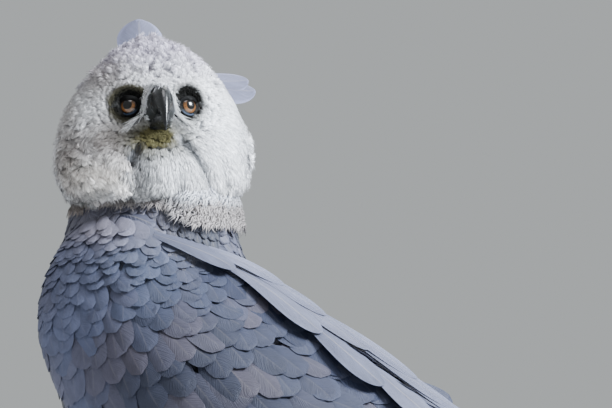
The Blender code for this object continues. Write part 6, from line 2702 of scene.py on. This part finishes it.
class HARPY_OT_crest(bpy.types.Operator):
    """Build the raised feathers of the crest."""

    bl_idname = "harpy.crest"
    bl_label = "Crest"

    def execute(self, context):
        build_crest(context.scene.harpy_eagle)
        return {"FINISHED"}


class HARPY_OT_bill(bpy.types.Operator):
    """Build the bill, the edge of the mouth, and the short feathers and bristles round them."""

    bl_idname = "harpy.bill"
    bl_label = "Bill and Bristles"

    def execute(self, context):
        build_bill()
        build_gape()
        build_cere_plumage(context.scene.harpy_eagle)
        build_bristles()
        return {"FINISHED"}


class HARPY_OT_eyes(bpy.types.Operator):
    """Build the eyeballs and their lids."""

    bl_idname = "harpy.eyes"
    bl_label = "Eyes"

    def execute(self, context):
        build_eyes(context.scene.harpy_eagle)
        return {"FINISHED"}


class HARPY_OT_legs(bpy.types.Operator):
    """Build the bare legs, toes and talons."""

    bl_idname = "harpy.legs"
    bl_label = "Legs and Talons"

    def execute(self, context):
        build_legs(context.scene.harpy_eagle)
        return {"FINISHED"}


class HARPY_OT_stage(bpy.types.Operator):
    """Set up the floor, the lights and the camera."""

    bl_idname = "harpy.stage"
    bl_label = "Stage"

    def execute(self, context):
        build_stage()
        return {"FINISHED"}


OPERATORS = (
    HARPY_OT_skin,
    HARPY_OT_head_plumage,
    HARPY_OT_body_plumage,
    HARPY_OT_thigh_plumage,
    HARPY_OT_tail,
    HARPY_OT_wings,
    HARPY_OT_crest,
    HARPY_OT_bill,
    HARPY_OT_eyes,
    HARPY_OT_legs,
    HARPY_OT_stage,
)


class HARPY_PT_eagle(bpy.types.Panel):
    """Sizes, colours and build steps of the eagle."""

    bl_idname = "HARPY_PT_eagle"
    bl_label = "Harpy Eagle"
    bl_space_type = "VIEW_3D"
    bl_region_type = "UI"
    bl_category = "Harpy Eagle"

    def draw(self, context):
        look = context.scene.harpy_eagle
        for name in HarpySettings.__annotations__:
            self.layout.prop(look, name)
        for step in OPERATORS:
            self.layout.operator(step.bl_idname)


def register():
    """Make the settings, the build steps and the panel known to Blender."""
    for some_class in (HarpySettings, *OPERATORS, HARPY_PT_eagle):
        bpy.utils.register_class(some_class)
    bpy.types.Scene.harpy_eagle = PointerProperty(type=HarpySettings)


def unregister():
    """Take them away again."""
    del bpy.types.Scene.harpy_eagle
    for some_class in (HARPY_PT_eagle, *reversed(OPERATORS), HarpySettings):
        bpy.utils.unregister_class(some_class)


def main():
    """Build the eagle and its stage."""
    register()
    bpy.ops.harpy.skin()
    bpy.ops.harpy.head_plumage()
    bpy.ops.harpy.body_plumage()
    bpy.ops.harpy.thigh_plumage()
    bpy.ops.harpy.tail()
    bpy.ops.harpy.wings()
    bpy.ops.harpy.crest()
    bpy.ops.harpy.bill()
    bpy.ops.harpy.eyes()
    bpy.ops.harpy.legs()
    bpy.ops.harpy.stage()


if __name__ == "__main__":
    main()
